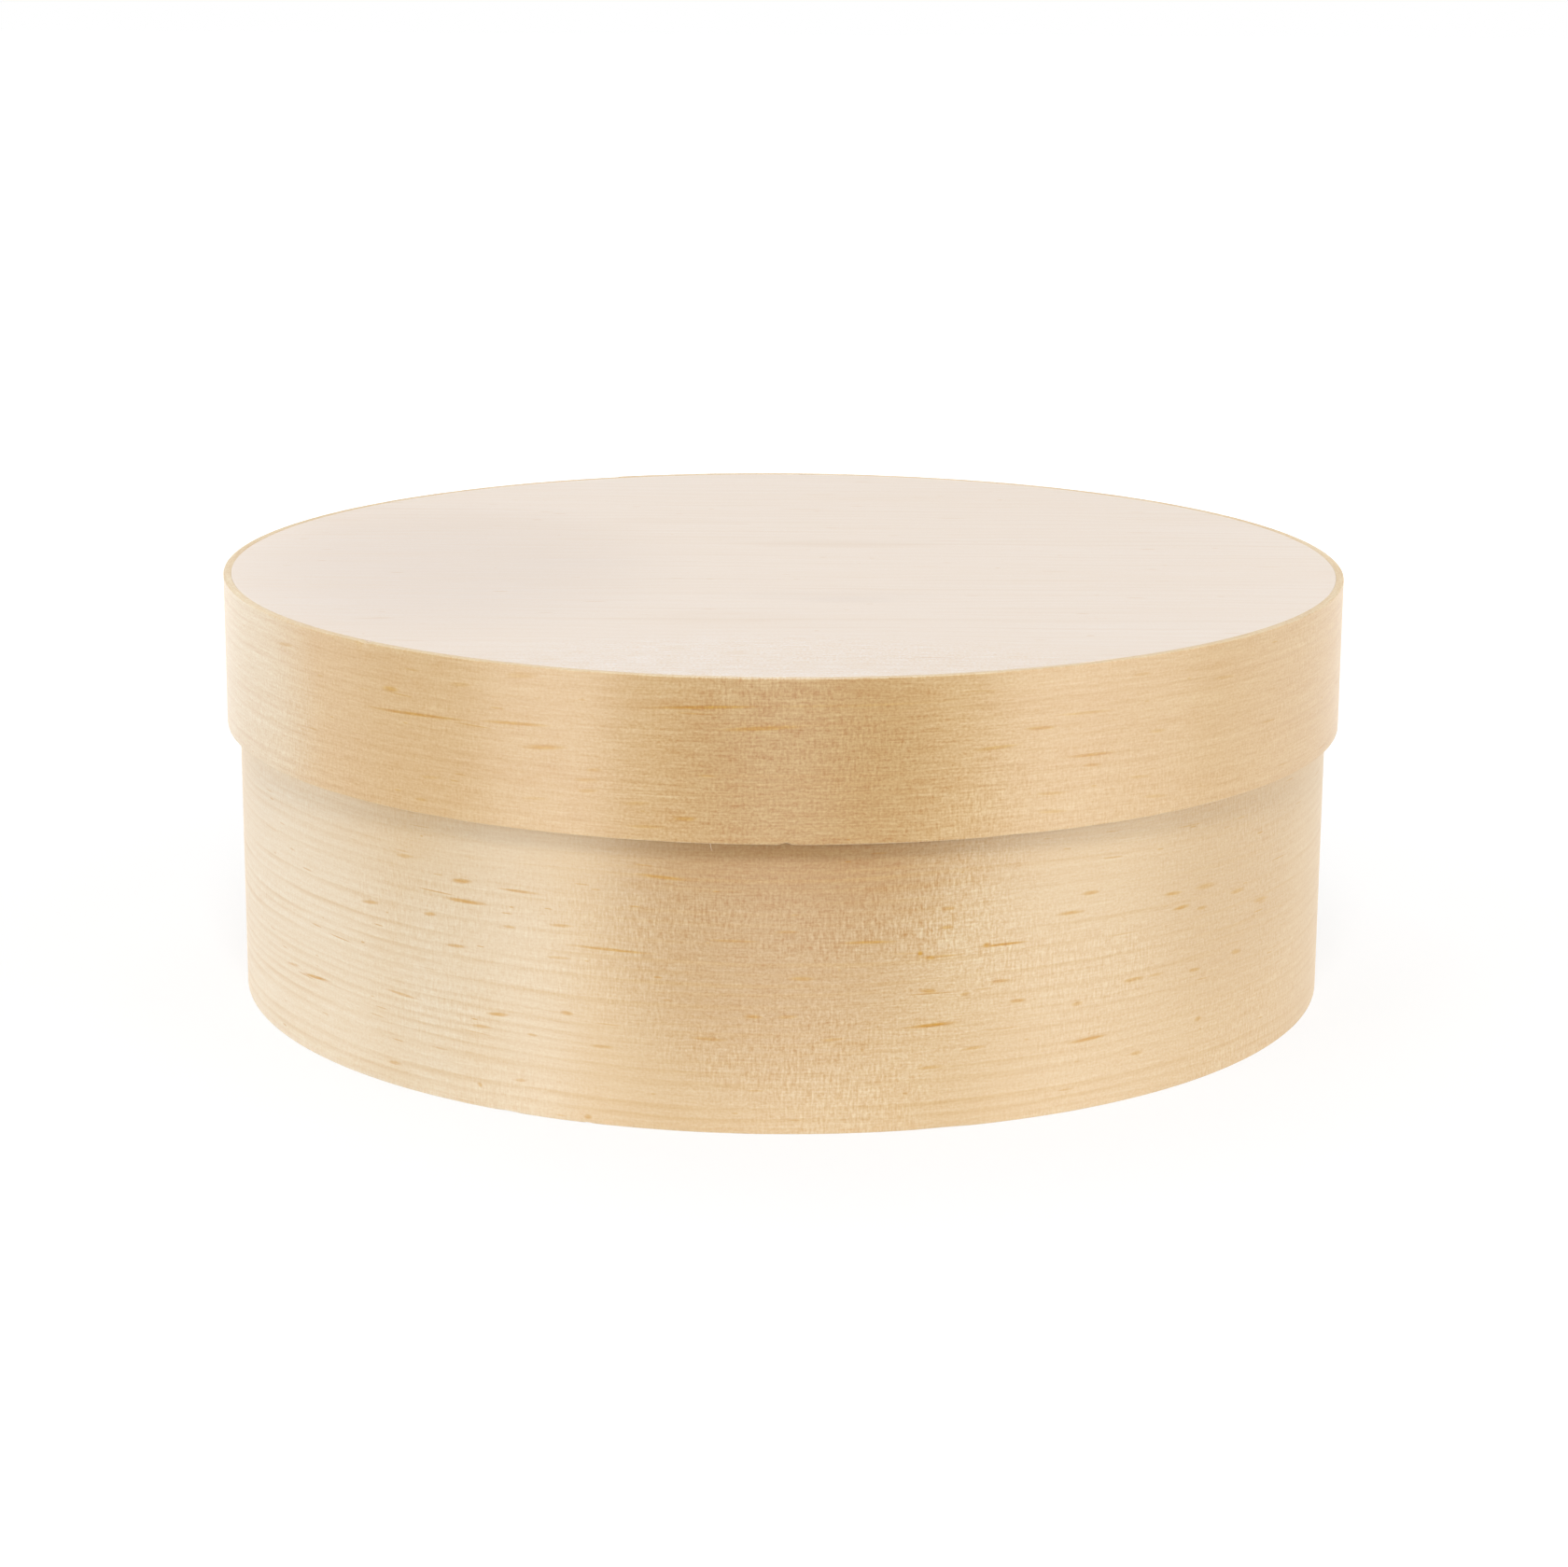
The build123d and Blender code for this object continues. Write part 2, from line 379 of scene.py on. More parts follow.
LONG_DASHES = Dashes(17.0, 1.3, 7.0, 0.24, 31, 1.0)
SHORT_DASHES = Dashes(11.0, 1.9, 3.6, 0.3, 37, 0.8)
SHORTEST_DASH_SHARE = 0.07
DASH_HEIGHT_SHARE = 0.5
DASH_SLANT_SHARE = 0.04
DASH_CORE_SHARE = 0.15
FAINTEST_DASH_SHARE = 0.4
CHANCE_MARK_SHARE = 0.55
MARK_CORE_SHARE = 0.25
MARK_WOBBLE = 0.25
TONE_FRAY = 5

# How much the resin and the cut edges cover, and how much each colour follows the grain's light and dark
RESIN_SHARE = 1.15
CUT_SHARE = 0.75
RED_SHARE = 0.45
GREEN_SHARE = 0.95
BLUE_SHARE = 1.7
LEAST_BLUE_SHARE = 0.05

# The grain's relief and sheen
GRAIN_DEPTH = 0.03 * MM
RELIEF_SHARE = 0.5
RING_RELIEF_SHARE = 0.3
FIBRE_RELIEF_SHARE = 0.45
STREAK_RELIEF_SHARE = 0.2
TICK_RELIEF_SHARE = 0.34
SPECK_RELIEF_SHARE = 0.38
FIBRE_DULLNESS_SHARE = 0.12
RING_POLISH_SHARE = 0.05
CUT_DULLNESS_SHARE = 0.35
SHEEN_SHARE = 1.0
QUARTER_TURN_SHARE = 0.25
WOOD_IOR = 1.6

# The wire's dull zinc: its scratches are counted for each millimetre
WIRE_DETAIL = 3.0
SCRATCHES_ACROSS = 6
SCRATCHES_UP = 0.8
SCRATCH_DEPTH = 0.01 * MM
SCRATCH_SHARE = 0.4
MOTTLE_SHARE = 0.35
METAL_SHARE = 1.0
WIRE_ROUGHNESS_SHARE = 0.38
MOTTLE_DULLNESS_SHARE = 0.3

# How one kind of wood looks: the names of its colours, the spacing of its rings and their drift in
# millimetres, and shares
WoodLook = namedtuple(
    "WoodLook",
    "pale ring ring_spacing ring_contrast drift fibre_contrast speck_contrast streak_contrast weave_contrast"
    " dash_share patch_contrast seed roughness polish",
)

BAND_LOOK = WoodLook(
    pale="band_pale", ring="band_ring", ring_spacing=1.3, ring_contrast=0.4, drift=2.2, fibre_contrast=0.6,
    speck_contrast=0.6, streak_contrast=0.4, weave_contrast=0.7, dash_share=0.12, patch_contrast=0.12,
    seed=11.0, roughness=0.42, polish=0.93,
)
WALL_LOOK = WoodLook(
    pale="wall_pale", ring="wall_ring", ring_spacing=1.35, ring_contrast=0.6, drift=3.0, fibre_contrast=0.3,
    speck_contrast=0.34, streak_contrast=0.18, weave_contrast=0.58, dash_share=0.16, patch_contrast=0.1,
    seed=47.0, roughness=0.52, polish=0.88,
)
TOP_LOOK = WoodLook(
    pale="disc_pale", ring="disc_ring", ring_spacing=2.6, ring_contrast=0.6, drift=6.0, fibre_contrast=0.17,
    speck_contrast=0.12, streak_contrast=0.12, weave_contrast=0.05, dash_share=0.06, patch_contrast=0.08,
    seed=83.0, roughness=0.45, polish=0.5,
)
BASE_LOOK = WoodLook(
    pale="disc_pale", ring="disc_ring", ring_spacing=2.4, ring_contrast=0.8, drift=7.0, fibre_contrast=0.14,
    speck_contrast=0.14, streak_contrast=0.1, weave_contrast=0.06, dash_share=0.14, patch_contrast=0.1,
    seed=131.0, roughness=0.5, polish=0.5,
)
FIBRE_LOOK = WoodLook(
    pale="fibre_pale", ring="fibre_ring", ring_spacing=2.0, ring_contrast=0.3, drift=1.0, fibre_contrast=0.05,
    speck_contrast=0.05, streak_contrast=0.05, weave_contrast=0.0, dash_share=0.0, patch_contrast=0.05,
    seed=3.0, roughness=0.6, polish=0.0,
)

# The base disc's grain is turned this far from the top disc's
BASE_GRAIN_TURN = math.radians(24)

# A tone laid over the wood, which is painted shade, painted sheen or a tone of the wood itself: the patches
# that have it, the name of its colour and how much of it they take
Tone = namedtuple("Tone", "patches colour share")

# What is a strip's own: its material's name and look, and what the photograph shows on it
Strip = namedtuple("Strip", "material look marks patches tones chips wear_seed")

BAND = Strip(
    "band veneer", BAND_LOOK, BAND_MARKS, BAND_PATCHES,
    # Its tones: painted shade over the middle of the front, and painted sheen at the left end
    (Tone(WARM_WOOD_AND_SHADE, "band_warm", 0.52), Tone(PAINTED_SHEEN, "band_light", 0.4)), BAND_CHIPS, 2.0,
)
WALL = Strip(
    "wall veneer", WALL_LOOK, WALL_MARKS, WALL_PATCHES,
    # Its tones: painted shade under the lid with a warmer patch further right, and painted sheen at the left
    (Tone(WARM_WOOD_AND_SHADE, "wall_warm", 0.5), Tone(PAINTED_SHEEN, "wall_light", 0.55)), WALL_CHIPS, 5.0,
)

# How much the top disc's wood takes of its warm patches, and of its grey patches and painted shade
TOP_WARM_SHARE = 0.8
TOP_GREY_AND_SHADE_SHARE = 0.14


def from_screen(red, green, blue):
    """A colour as a screen shows it, from 0 to 255, in Blender's linear values."""
    shares = [value / 255 for value in (red, green, blue)]
    return [s / 12.92 if s <= 0.04045 else ((s + 0.055) / 1.055) ** 2.4 for s in shares]


def a_length(name, description, metres):
    """A length that a user can change."""
    return FloatProperty(name=name, description=description, default=metres, unit="LENGTH", precision=5)


def an_angle(name, description, degrees):
    """An angle that a user can change."""
    return FloatProperty(name=name, description=description, default=math.radians(degrees), subtype="ANGLE")


def a_strength(name, description, strength):
    """A strength that a user can change."""
    return FloatProperty(name=name, description=description, default=strength, min=0)


def a_count(name, description, number, least=1):
    """A number of things that a user can change."""
    return IntProperty(name=name, description=description, default=number, min=least)


def a_colour(name, description, *levels):
    """A colour that a user can change, its default given as a screen shows it."""
    return FloatVectorProperty(
        name=name, description=description, default=from_screen(*levels), subtype="COLOR", min=0, max=1
    )


class CheeseBoxSizes(bpy.types.PropertyGroup):
    """Sizes of the box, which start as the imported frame's own."""

    lid_radius: a_length("Lid radius", "Outer radius of the lid's band", BAND_RADIUS)
    lid_bottom: a_length("Lid's lower edge", "Height of the band's lower edge", BAND_LOW.z)
    lid_top: a_length("Lid's top", "Height of the top of the box", BAND_HIGH.z)
    lid_seam: an_angle("Lid seam", "Turn of the band's lap joint from the back's centre", 9)
    wall_radius: a_length("Wall radius", "Outer radius of the body's wall", WALL_RADIUS)
    wall_bottom: a_length("Wall's lower edge", "Height of the wall's lower edge", 0)
    wall_top: a_length("Wall's top", "Height of the wall's upper edge", WALL_HIGH.z)
    wall_seam: an_angle("Wall seam", "Turn of the wall's lap joint from the back's centre", 0)
    veneer: a_length("Veneer", "Thickness of the bent strips", 1.1 * MM)
    lap_length: a_length("Lap", "How far a strip's two ends lie on each other", 30 * MM)
    run_up: a_length("Run-up", "Length over which the outer end climbs on the inner one", 14 * MM)
    tip: a_length("Skived tip", "Thickness of a strip's thinned end", 0.2 * MM)
    glue_line: a_length("Glue line", "Gap between the two ends of a strip", 0.1 * MM)
    edge_rounding: a_length("Edge rounding", "Radius of a strip's sanded long edges", 0.12 * MM)
    edge_wear: a_length("Edge wear", "How far the cut edges waver", 0.06 * MM)
    cuts_along: a_count("Cuts along", "Points along each strip", 1100, 60)
    cuts_across: a_count("Cuts across", "Points up each face of a strip", 15, 2)
    disc_fit: a_length("Disc joint", "Gap between a disc and the strip around it", 0.01 * MM)
    disc_rounding: a_length("Disc rounding", "Radius of the discs' sanded rims", 0.04 * MM)
    disc_unevenness: a_length("Disc unevenness", "How far the sanded faces are from flat", 0.05 * MM)


class StapleSizes(bpy.types.PropertyGroup):
    """Sizes of the flat-wire staples in the lap joints."""

    crown: a_length("Crown", "Outer height of a staple", 7 * MM)
    wire_width: a_length("Wire width", "Width of the flat wire", 0.9 * MM)
    wire_thickness: a_length("Wire thickness", "Thickness of the flat wire", 0.4 * MM)
    wire_rounding: a_length("Wire rounding", "Radius of the flat wire's edges", 0.1 * MM)
    bend: a_length("Bend", "Radius of the wire's middle line at a bend", 0.42 * MM)
    proud: a_length("Proud", "How far the wire stands out of the veneer", 0.05 * MM)
    clinch_gap: a_length("Clinch gap", "Gap between the two clinched ends", 1.6 * MM)
    lid_count: a_count("Lid staples", "Staples in the lid's lap", 2)
    wall_count: a_count("Wall staples", "Staples in the wall's lap", 3)


class WoodColours(bpy.types.PropertyGroup):
    """Colours of the bare wood and the staples."""

    band_pale: a_colour("Band, pale wood", "Early wood of the lid's band", 206, 171, 119)
    band_ring: a_colour("Band, rings", "Late wood of the lid's band", 192, 145, 82)
    # Painted shade over the middle of the band's front
    band_warm: a_colour("Band, painted shade", "Painted shade over the middle of the band's front", 172, 127, 56)
    # Painted sheen at the left of the band's front
    band_light: a_colour("Band, painted sheen", "Painted sheen at the left end of the band's front", 224, 216, 194)
    wall_pale: a_colour("Wall, pale wood", "Early wood of the body's wall", 210, 182, 140)
    wall_ring: a_colour("Wall, rings", "Late wood of the body's wall", 198, 160, 100)
    # Painted shade under the lid at the front, and a warmer patch further right
    wall_warm: a_colour("Wall, warm patches and painted shade", "Painted shade over the front under the lid, and a warmer patch further right", 172, 126, 64)
    # Painted sheen at the left of the wall's front
    wall_light: a_colour("Wall, painted sheen", "Painted sheen on the left of the wall's front", 228, 218, 198)
    disc_pale: a_colour("Discs, pale wood", "Early wood of the top and base discs", 226, 211, 196)
    disc_ring: a_colour("Discs, rings", "Late wood of the top and base discs", 217, 197, 176)
    # Grey patches, and painted shade over the left of the top
    disc_grey: a_colour("Top, grey patches and painted shade", "Grey patches on the top disc, and painted shade over its left", 190, 174, 164)
    fibre_pale: a_colour("Fibres, pale wood", "Early wood of the loose fibres", 244, 234, 216)
    fibre_ring: a_colour("Fibres, rings", "Late wood of the loose fibres", 232, 214, 186)
    cut_edge: a_colour("Cut edges", "The sanded edges of the veneer strips", 222, 200, 164)
    resin: a_colour("Resin streaks", "The short orange-brown resin streaks", 190, 136, 4)
    wire: a_colour("Staple wire", "Zinc-coated flat wire", 176, 174, 168)


class StudioSettings(bpy.types.PropertyGroup):
    """The camera that took the photograph and the plain studio light."""

    elevation: an_angle("Camera elevation", "Angle above the horizon", 13.828)
    roll: an_angle("Camera roll", "Turn about the line of sight", 0.318)
    distance: a_length("Camera distance", "From the centre of the underside, along the line of sight", 0.5564)
    slide_right: a_length("Camera to the right", "Sideways offset in the picture", 0.37 * MM)
    slide_up: a_length("Camera upwards", "Upward offset in the picture", 26.2 * MM)
    lens_mm: FloatProperty(name="Lens", description="Focal length in millimetres", default=86.3)
    floor_size: a_length("Floor", "Side of the floor", 6.0)
    floor_pool: a_strength("Floor pool", "Extra light that the floor gives off close to the box", 0.26)
    surround: a_strength("Surround", "Strength of the white room as light", 0.03)
    light_distance: a_length("Lights' distance", "From the box's axis to each softbox", 1.1)
    light_power: a_strength("Lights' power", "Watts for each square metre of a softbox of strength 1", 10.0)
    overhead: a_strength("Overhead light", "Strength of the softbox above the box", 0.73)


class Field:
    """A number that flows through a node tree, so that a formula reads as it is written."""

    def __init__(self, draft, socket):
        self.draft = draft
        self.socket = socket

    def __add__(self, other):
        return self.draft.math("ADD", self, other)

    def __sub__(self, other):
        return self.draft.math("SUBTRACT", self, other)

    def __rsub__(self, other):
        return self.draft.math("SUBTRACT", other, self)

    def __mul__(self, other):
        return self.draft.math("MULTIPLY", self, other)

    def __truediv__(self, other):
        return self.draft.math("DIVIDE", self, other)

    def __pow__(self, other):
        return self.draft.math("POWER", self, other)

    def __abs__(self):
        return self.draft.math("ABSOLUTE", self)

    def at_least(self, least_share):
        """A share from 0 to 1, squeezed so that it begins at the least share."""
        return self * (1 - least_share) + least_share

    __radd__ = __add__
    __rmul__ = __mul__


class Draft:
    """Adds nodes to a tree and fills or links their inputs."""

    def __init__(self, tree):
        self.tree = tree
        tree.nodes.clear()

    def fill(self, socket, value):
        if isinstance(value, Field):
            value = value.socket
        if isinstance(value, bpy.types.NodeSocket):
            self.tree.links.new(value, socket)
        elif value is not None:
            socket.default_value = value

    def add(self, kind, *values, **settings):
        """A new node with its first inputs filled in order. None leaves an input as it is."""
        node = self.tree.nodes.new(kind)
        for name, value in settings.items():
            setattr(node, name, value)
        for place, value in enumerate(values):
            self.fill(node.inputs[place], value)
        return node

    def shape(self, kind, *values, **settings):
        """The first output of a new node."""
        return self.add(kind, *values, **settings).outputs[0]

    def field(self, socket):
        return Field(self, socket)

    def math(self, operation, *values):
        return self.field(self.shape("ShaderNodeMath", *values, operation=operation))

    def split(self, vector):
        return [self.field(socket) for socket in self.add("ShaderNodeSeparateXYZ", vector).outputs]

    def join(self, x, y, z=0.0):
        return self.shape("ShaderNodeCombineXYZ", x, y, z)

    def ease(self, value, low, high, start=0.0, end=1.0):
        """Goes smoothly from start to end while the value goes from low to high."""
        settings = {"interpolation_type": "SMOOTHSTEP", "clamp": False}
        return self.field(self.shape("ShaderNodeMapRange", value, low, high, start, end, **settings))

    def share(self, value):
        """The value, held between 0 and 1."""
        return self.field(self.shape("ShaderNodeClamp", value))

    def cloud(self, place, detail=2.0, roughness=0.5):
        """Smooth noise between 0 and 1, one feature for each unit of place."""
        node = self.add("ShaderNodeTexNoise", place)
        node.inputs["Scale"].default_value = 1.0
        node.inputs["Detail"].default_value = detail
        node.inputs["Roughness"].default_value = roughness
        return self.field(node.outputs[0])

    def blend(self, factor, first, second):
        """A colour between two others."""
        node = self.add("ShaderNodeMix", factor, data_type="RGBA")
        self.fill(node.inputs[6], first)
        self.fill(node.inputs[7], second)
        return node.outputs[2]

    def attribute(self, name, kind="FLOAT"):
        return self.shape("GeometryNodeInputNamedAttribute", name, data_type=kind)

    def store(self, geometry, name, value, kind="FLOAT", domain="POINT"):
        return self.shape(
            "GeometryNodeStoreNamedAttribute", geometry, None, name, value, data_type=kind, domain=domain
        )


def new_material(name):
    """A new material and the draft of its node tree."""
    material = bpy.data.materials.new(name)
    material.use_nodes = True
    return material, Draft(material.node_tree)


def add_object(name, data):
    """A new object in the scene that holds a mesh, a light or a camera."""
    thing = bpy.data.objects.new(name, data)
    bpy.context.scene.collection.objects.link(thing)
    return thing


def geometry_tree(name, floats, integers=()):
    """A geometry node tree with one named input for each size, and its draft and inputs."""
    tree = bpy.data.node_groups.new(name, "GeometryNodeTree")
    draft = Draft(tree)
    kinds = [(size, "Float") for size in floats] + [(size, "Int") for size in integers]
    for size, kind in kinds + [("material", "Material")]:
        tree.interface.new_socket(size, in_out="INPUT", socket_type=f"NodeSocket{kind}")
    tree.interface.new_socket("geometry", in_out="OUTPUT", socket_type="NodeSocketGeometry")
    outputs = draft.add("NodeGroupInput").outputs
    sizes = {size: draft.field(outputs[size]) for size, kind in kinds}
    return draft, SimpleNamespace(material=outputs["material"], **sizes)


def finish_tree(draft, geometry, material):
    """Ends a tree in real, smooth-shaded faces of one material."""
    real = draft.shape("GeometryNodeRealizeInstances", geometry)
    smooth = draft.shape("GeometryNodeSetShadeSmooth", real)
    dressed = draft.shape("GeometryNodeSetMaterial", smooth, None, material)
    draft.add("NodeGroupOutput", dressed)
    return draft.tree


def grow(name, tree, own, shared):
    """Runs a tree once and keeps what it makes as a plain mesh.

    The inputs that aren't among the piece's own values are read from what it shares with other pieces.
    """
    piece = add_object(name, bpy.data.meshes.new(name))
    modifier = piece.modifiers.new(tree.name, "NODES")
    modifier.node_group = tree
    for item in tree.interface.items_tree:
        if item.in_out == "INPUT":
            modifier[item.identifier] = own[item.name] if item.name in own else getattr(shared, item.name)
    grown = piece.evaluated_get(bpy.context.evaluated_depsgraph_get())
    mesh = bpy.data.meshes.new_from_object(grown)
    piece.modifiers.remove(modifier)
    empty = piece.data
    piece.data = mesh
    bpy.data.meshes.remove(empty)
    mesh.name = name
    mesh.materials.clear()
    mesh.materials.append(own["material"])
    for helper in (ALONG, ACROSS):
        if helper in mesh.attributes:
            mesh.attributes.remove(mesh.attributes[helper])
    mesh.set_sharp_from_angle(angle=SHARP_ANGLE)
    return piece


def camera_axes(studio):
    """The camera's place and its right, up and forward directions."""
    tilt, roll = studio.elevation, studio.roll
    forward = Vector((0, math.cos(tilt), -math.sin(tilt)))
    level_right = Vector((1, 0, 0))
    level_up = level_right.cross(forward)
    right = level_right * math.cos(roll) + level_up * math.sin(roll)
    up = level_up * math.cos(roll) - level_right * math.sin(roll)
    place = right * studio.slide_right + up * studio.slide_up - forward * studio.distance
    return place, right, up, forward


def sight_line(studio, pixel, level):
    """The camera's place and the direction in which it sees a pixel of the photograph."""
    place, right, up, forward = camera_axes(studio)
    focal = studio.lens_mm / SENSOR_WIDTH_MM * PHOTO_WIDTH
    across = (pixel - PHOTO_WIDTH / 2) / focal
    above = (PHOTO_HEIGHT / 2 - level) / focal
    return place, right * across + up * above + forward


def on_strip(studio, pixel, level, radius):
    """Where a pixel lies on the front of an upright cylinder: millimetres around from the front, and up."""
    place, sight = sight_line(studio, pixel, level)
    a = sight.x**2 + sight.y**2
    b = place.x * sight.x + place.y * sight.y
    c = place.x**2 + place.y**2 - radius**2
    spot = place + sight * ((-b - math.sqrt(max(b * b - a * c, 0))) / a)
    return math.atan2(spot.x, -spot.y) * radius / MM, spot.z / MM


def on_top(studio, pixel, level, height):
    """Where a pixel lies on a level face: millimetres to the right of the axis, and behind it."""
    place, sight = sight_line(studio, pixel, level)
    spot = place + sight * ((height - place.z) / sight.z)
    return spot.x / MM, spot.y / MM


def soft_patches(draft, along, up, placed):
    """Wide soft ovals on the wood, strongest in their middle."""
    total = 0.0
    for start, end, height, strength in placed:
        middle = (start + end) / 2
        half = (end - start).length / 2
        far = ((along - middle.x) / half) ** 2.0 + ((up - middle.y) / (height / 2)) ** 2.0
        total = draft.ease(far, 0.0, PATCH_FADE_SHARE, strength, 0.0) + total
    return total


def straight_strip(draft, given):
    """A straight strip along one line, whose points know their share along it and their place across it."""
    thickness, height, rounding = given.veneer, given.height, given.edge_rounding
    line = draft.shape("GeometryNodeCurvePrimitiveLine")
    path = draft.shape("GeometryNodeResampleCurve", line, None, given.cuts_along)
    path = draft.store(path, ALONG, draft.shape("GeometryNodeSplineParameter"))

    # The strip's section: a rounded rectangle whose long faces get extra rows
    blank = draft.shape("GeometryNodeCurvePrimitiveQuadrilateral", thickness, height)
    place = draft.shape("GeometryNodeInputPosition")
    outside = draft.math("GREATER_THAN", draft.split(place)[0], 0.0)
    roundings = rounding * outside.at_least(INNER_ROUNDING_SHARE)
    section = draft.shape("GeometryNodeFilletCurve", blank, ROUNDING_POINTS, roundings, mode="POLY")
    count = draft.field(draft.add("GeometryNodeAttributeDomainSize", section, component="CURVE").outputs[0])
    following = draft.math("MODULO", draft.field(draft.shape("GeometryNodeInputIndex")) + 1, count)
    next_place = draft.shape("GeometryNodeFieldAtIndex", None, following, data_type="FLOAT_VECTOR")
    draft.fill(next_place.node.inputs[0], place)
    here_x, here_y, _ = draft.split(place)
    next_x, next_y, _ = draft.split(next_place)
    is_face = draft.math("GREATER_THAN", abs(next_y - here_y), height / 2)
    is_edge = draft.math("GREATER_THAN", abs(next_x - here_x), thickness / 4)
    section = draft.shape("GeometryNodeSubdivideCurve", section, is_face * given.cuts_across + is_edge)

    # The rows gather towards the strip's long edges, where the rounding starts
    flat_half = height / 2 - rounding
    reach = draft.math("MAXIMUM", draft.math("MINIMUM", here_y / flat_half, 1.0), -1.0)
    gathered = draft.math("SINE", reach * (math.pi / 2)) * flat_half + (here_y - reach * flat_half)
    section = draft.shape("GeometryNodeSetPosition", section, None, draft.join(here_x, gathered))
    section = draft.store(section, ACROSS, place, "FLOAT_VECTOR")
    strip = draft.shape("GeometryNodeCurveToMesh", path, section, None, True)
    return draft.shape("GeometryNodeFlipFaces", strip)


def edge_wear(draft, given, around_mm, edge_side, to_edge, chips):
    """How much the long edges have lost: from their height, and from the outer face."""
    seed = edge_side * WEAR_SIDE_SEED + given.wear_seed
    slow = draft.cloud(draft.join(around_mm * SLOW_WAVES, seed))
    fast = draft.cloud(draft.join(around_mm * FAST_WAVES, seed, FAST_WAVES_SEED))
    waver = (slow * SLOW_WAVE_SHARE + fast * (1 - SLOW_WAVE_SHARE)) * given.edge_wear
    bite = waver * draft.ease(to_edge, 0.0, WEAR_REACH, 1.0, 0.0)
    dent = 0.0
    for chip, chip_around in chips:
        nearness = 1.0 - ((around_mm - chip_around) / chip.length) ** 2.0
        bump = draft.share(nearness) ** CHIP_STEEPNESS
        fade = draft.ease(to_edge, 0.0, CHIP_REACH_SHARE * chip.height * MM, 1.0, 0.0)
        on_edge = fade * draft.share(edge_side * chip.edge)
        bite = bite + bump * on_edge * (chip.height * MM)
        dent = bump * on_edge * (chip.depth * MM) + dent
    return bite, dent


def strip_tree(name, chips, patches):
    """Geometry nodes for a veneer strip bent into a ring, its skived start under its skived end."""
    draft, given = geometry_tree(
        name,
        (
            "radius", "veneer", "bottom", "height", "seam", "lap_length", "run_up", "tip", "glue_line",
            "edge_rounding", "edge_wear", "wear_seed",
        ),
        ("cuts_along", "cuts_across"),
    )
    outer_radius, thickness, height = given.radius, given.veneer, given.height
    rounding, tip = given.edge_rounding, given.tip
    strip = straight_strip(draft, given)

    # Each point's place in the bent strip
    half_lap = given.lap_length / outer_radius / 2
    run_up = given.run_up / outer_radius
    rise = tip + given.glue_line
    angle = draft.field(draft.attribute(ALONG)) * (half_lap * 2 + 2 * math.pi) - half_lap
    second_start = 2 * math.pi - half_lap
    under = draft.share((angle + half_lap) / (half_lap * 2))
    climb = draft.share((angle - second_start + run_up) / run_up)
    over = draft.share((angle - second_start) / (half_lap * 2))
    inner_radius = outer_radius - thickness
    inner_face = inner_radius + rise * climb + (thickness - tip) * over
    outer_face = inner_radius + tip + (thickness - tip) * under + rise * climb
    across_x, across_y, _ = draft.split(draft.attribute(ACROSS, "FLOAT_VECTOR"))
    through = across_x / thickness + 0.5
    around = (angle + given.seam - math.pi) * outer_radius

    # The long edges waver a little, and are chipped in places
    edge_side = draft.math("SIGN", across_y)
    to_edge = height / 2 - abs(across_y)
    around_mm = around * (1 / MM)
    bite, dent = edge_wear(draft, given, around_mm, edge_side, to_edge, chips)

    radius = inner_face + (outer_face - inner_face) * through - dent * through
    level = given.bottom + height / 2 + across_y - edge_side * bite
    turn = angle + given.seam + math.pi / 2
    bent = draft.join(radius * draft.math("COSINE", turn), radius * draft.math("SINE", turn), level)
    strip = draft.shape("GeometryNodeSetPosition", strip, None, bent)

    # What the material reads: the grain's own map, the cut edges and the soft patches, among them painted
    # shade and painted sheen
    grain = draft.join(around, given.bottom + height / 2 + across_y - thickness * (1.0 - through))
    strip = draft.store(strip, GRAIN_MAP, grain, "FLOAT2", "CORNER")
    cut_edge = draft.ease(to_edge, rounding * CUT_EDGE_SHARE, rounding, 1.0, 0.0)
    strip = draft.store(strip, CUT_EDGE, cut_edge)
    up_mm = (given.bottom + height / 2 + across_y) * (1 / MM)
    for attribute, placed in patches.items():
        strip = draft.store(strip, attribute, soft_patches(draft, around_mm, up_mm, placed))
    return finish_tree(draft, strip, given.material)


def bent_strip(context, name, strip, radius, bottom, top, seam):
    """One strip's piece, from the tree, the box's sizes and what is the strip's own."""
    sizes, studio = context.scene.cheese_box_sizes, context.scene.cheese_box_studio

    def locate(pixel, level):
        return on_strip(studio, pixel, level, radius)

    colours = context.scene.cheese_box_colours
    dark_marks = placed_marks(strip.marks, locate)
    material = wood_material(strip.material, colours, strip.look, dark_marks, strip.tones)
    chips = [(chip, locate(chip.pixel, chip.level)[0]) for chip in strip.chips]
    patches = {attribute: placed_marks(found, locate) for attribute, found in strip.patches.items()}
    own = {
        "radius": radius,
        "bottom": bottom,
        "height": top - bottom,
        "seam": seam,
        "wear_seed": strip.wear_seed,
        "material": material,
    }
    return grow(name, strip_tree(f"{name} tree", chips, patches), own, sizes)


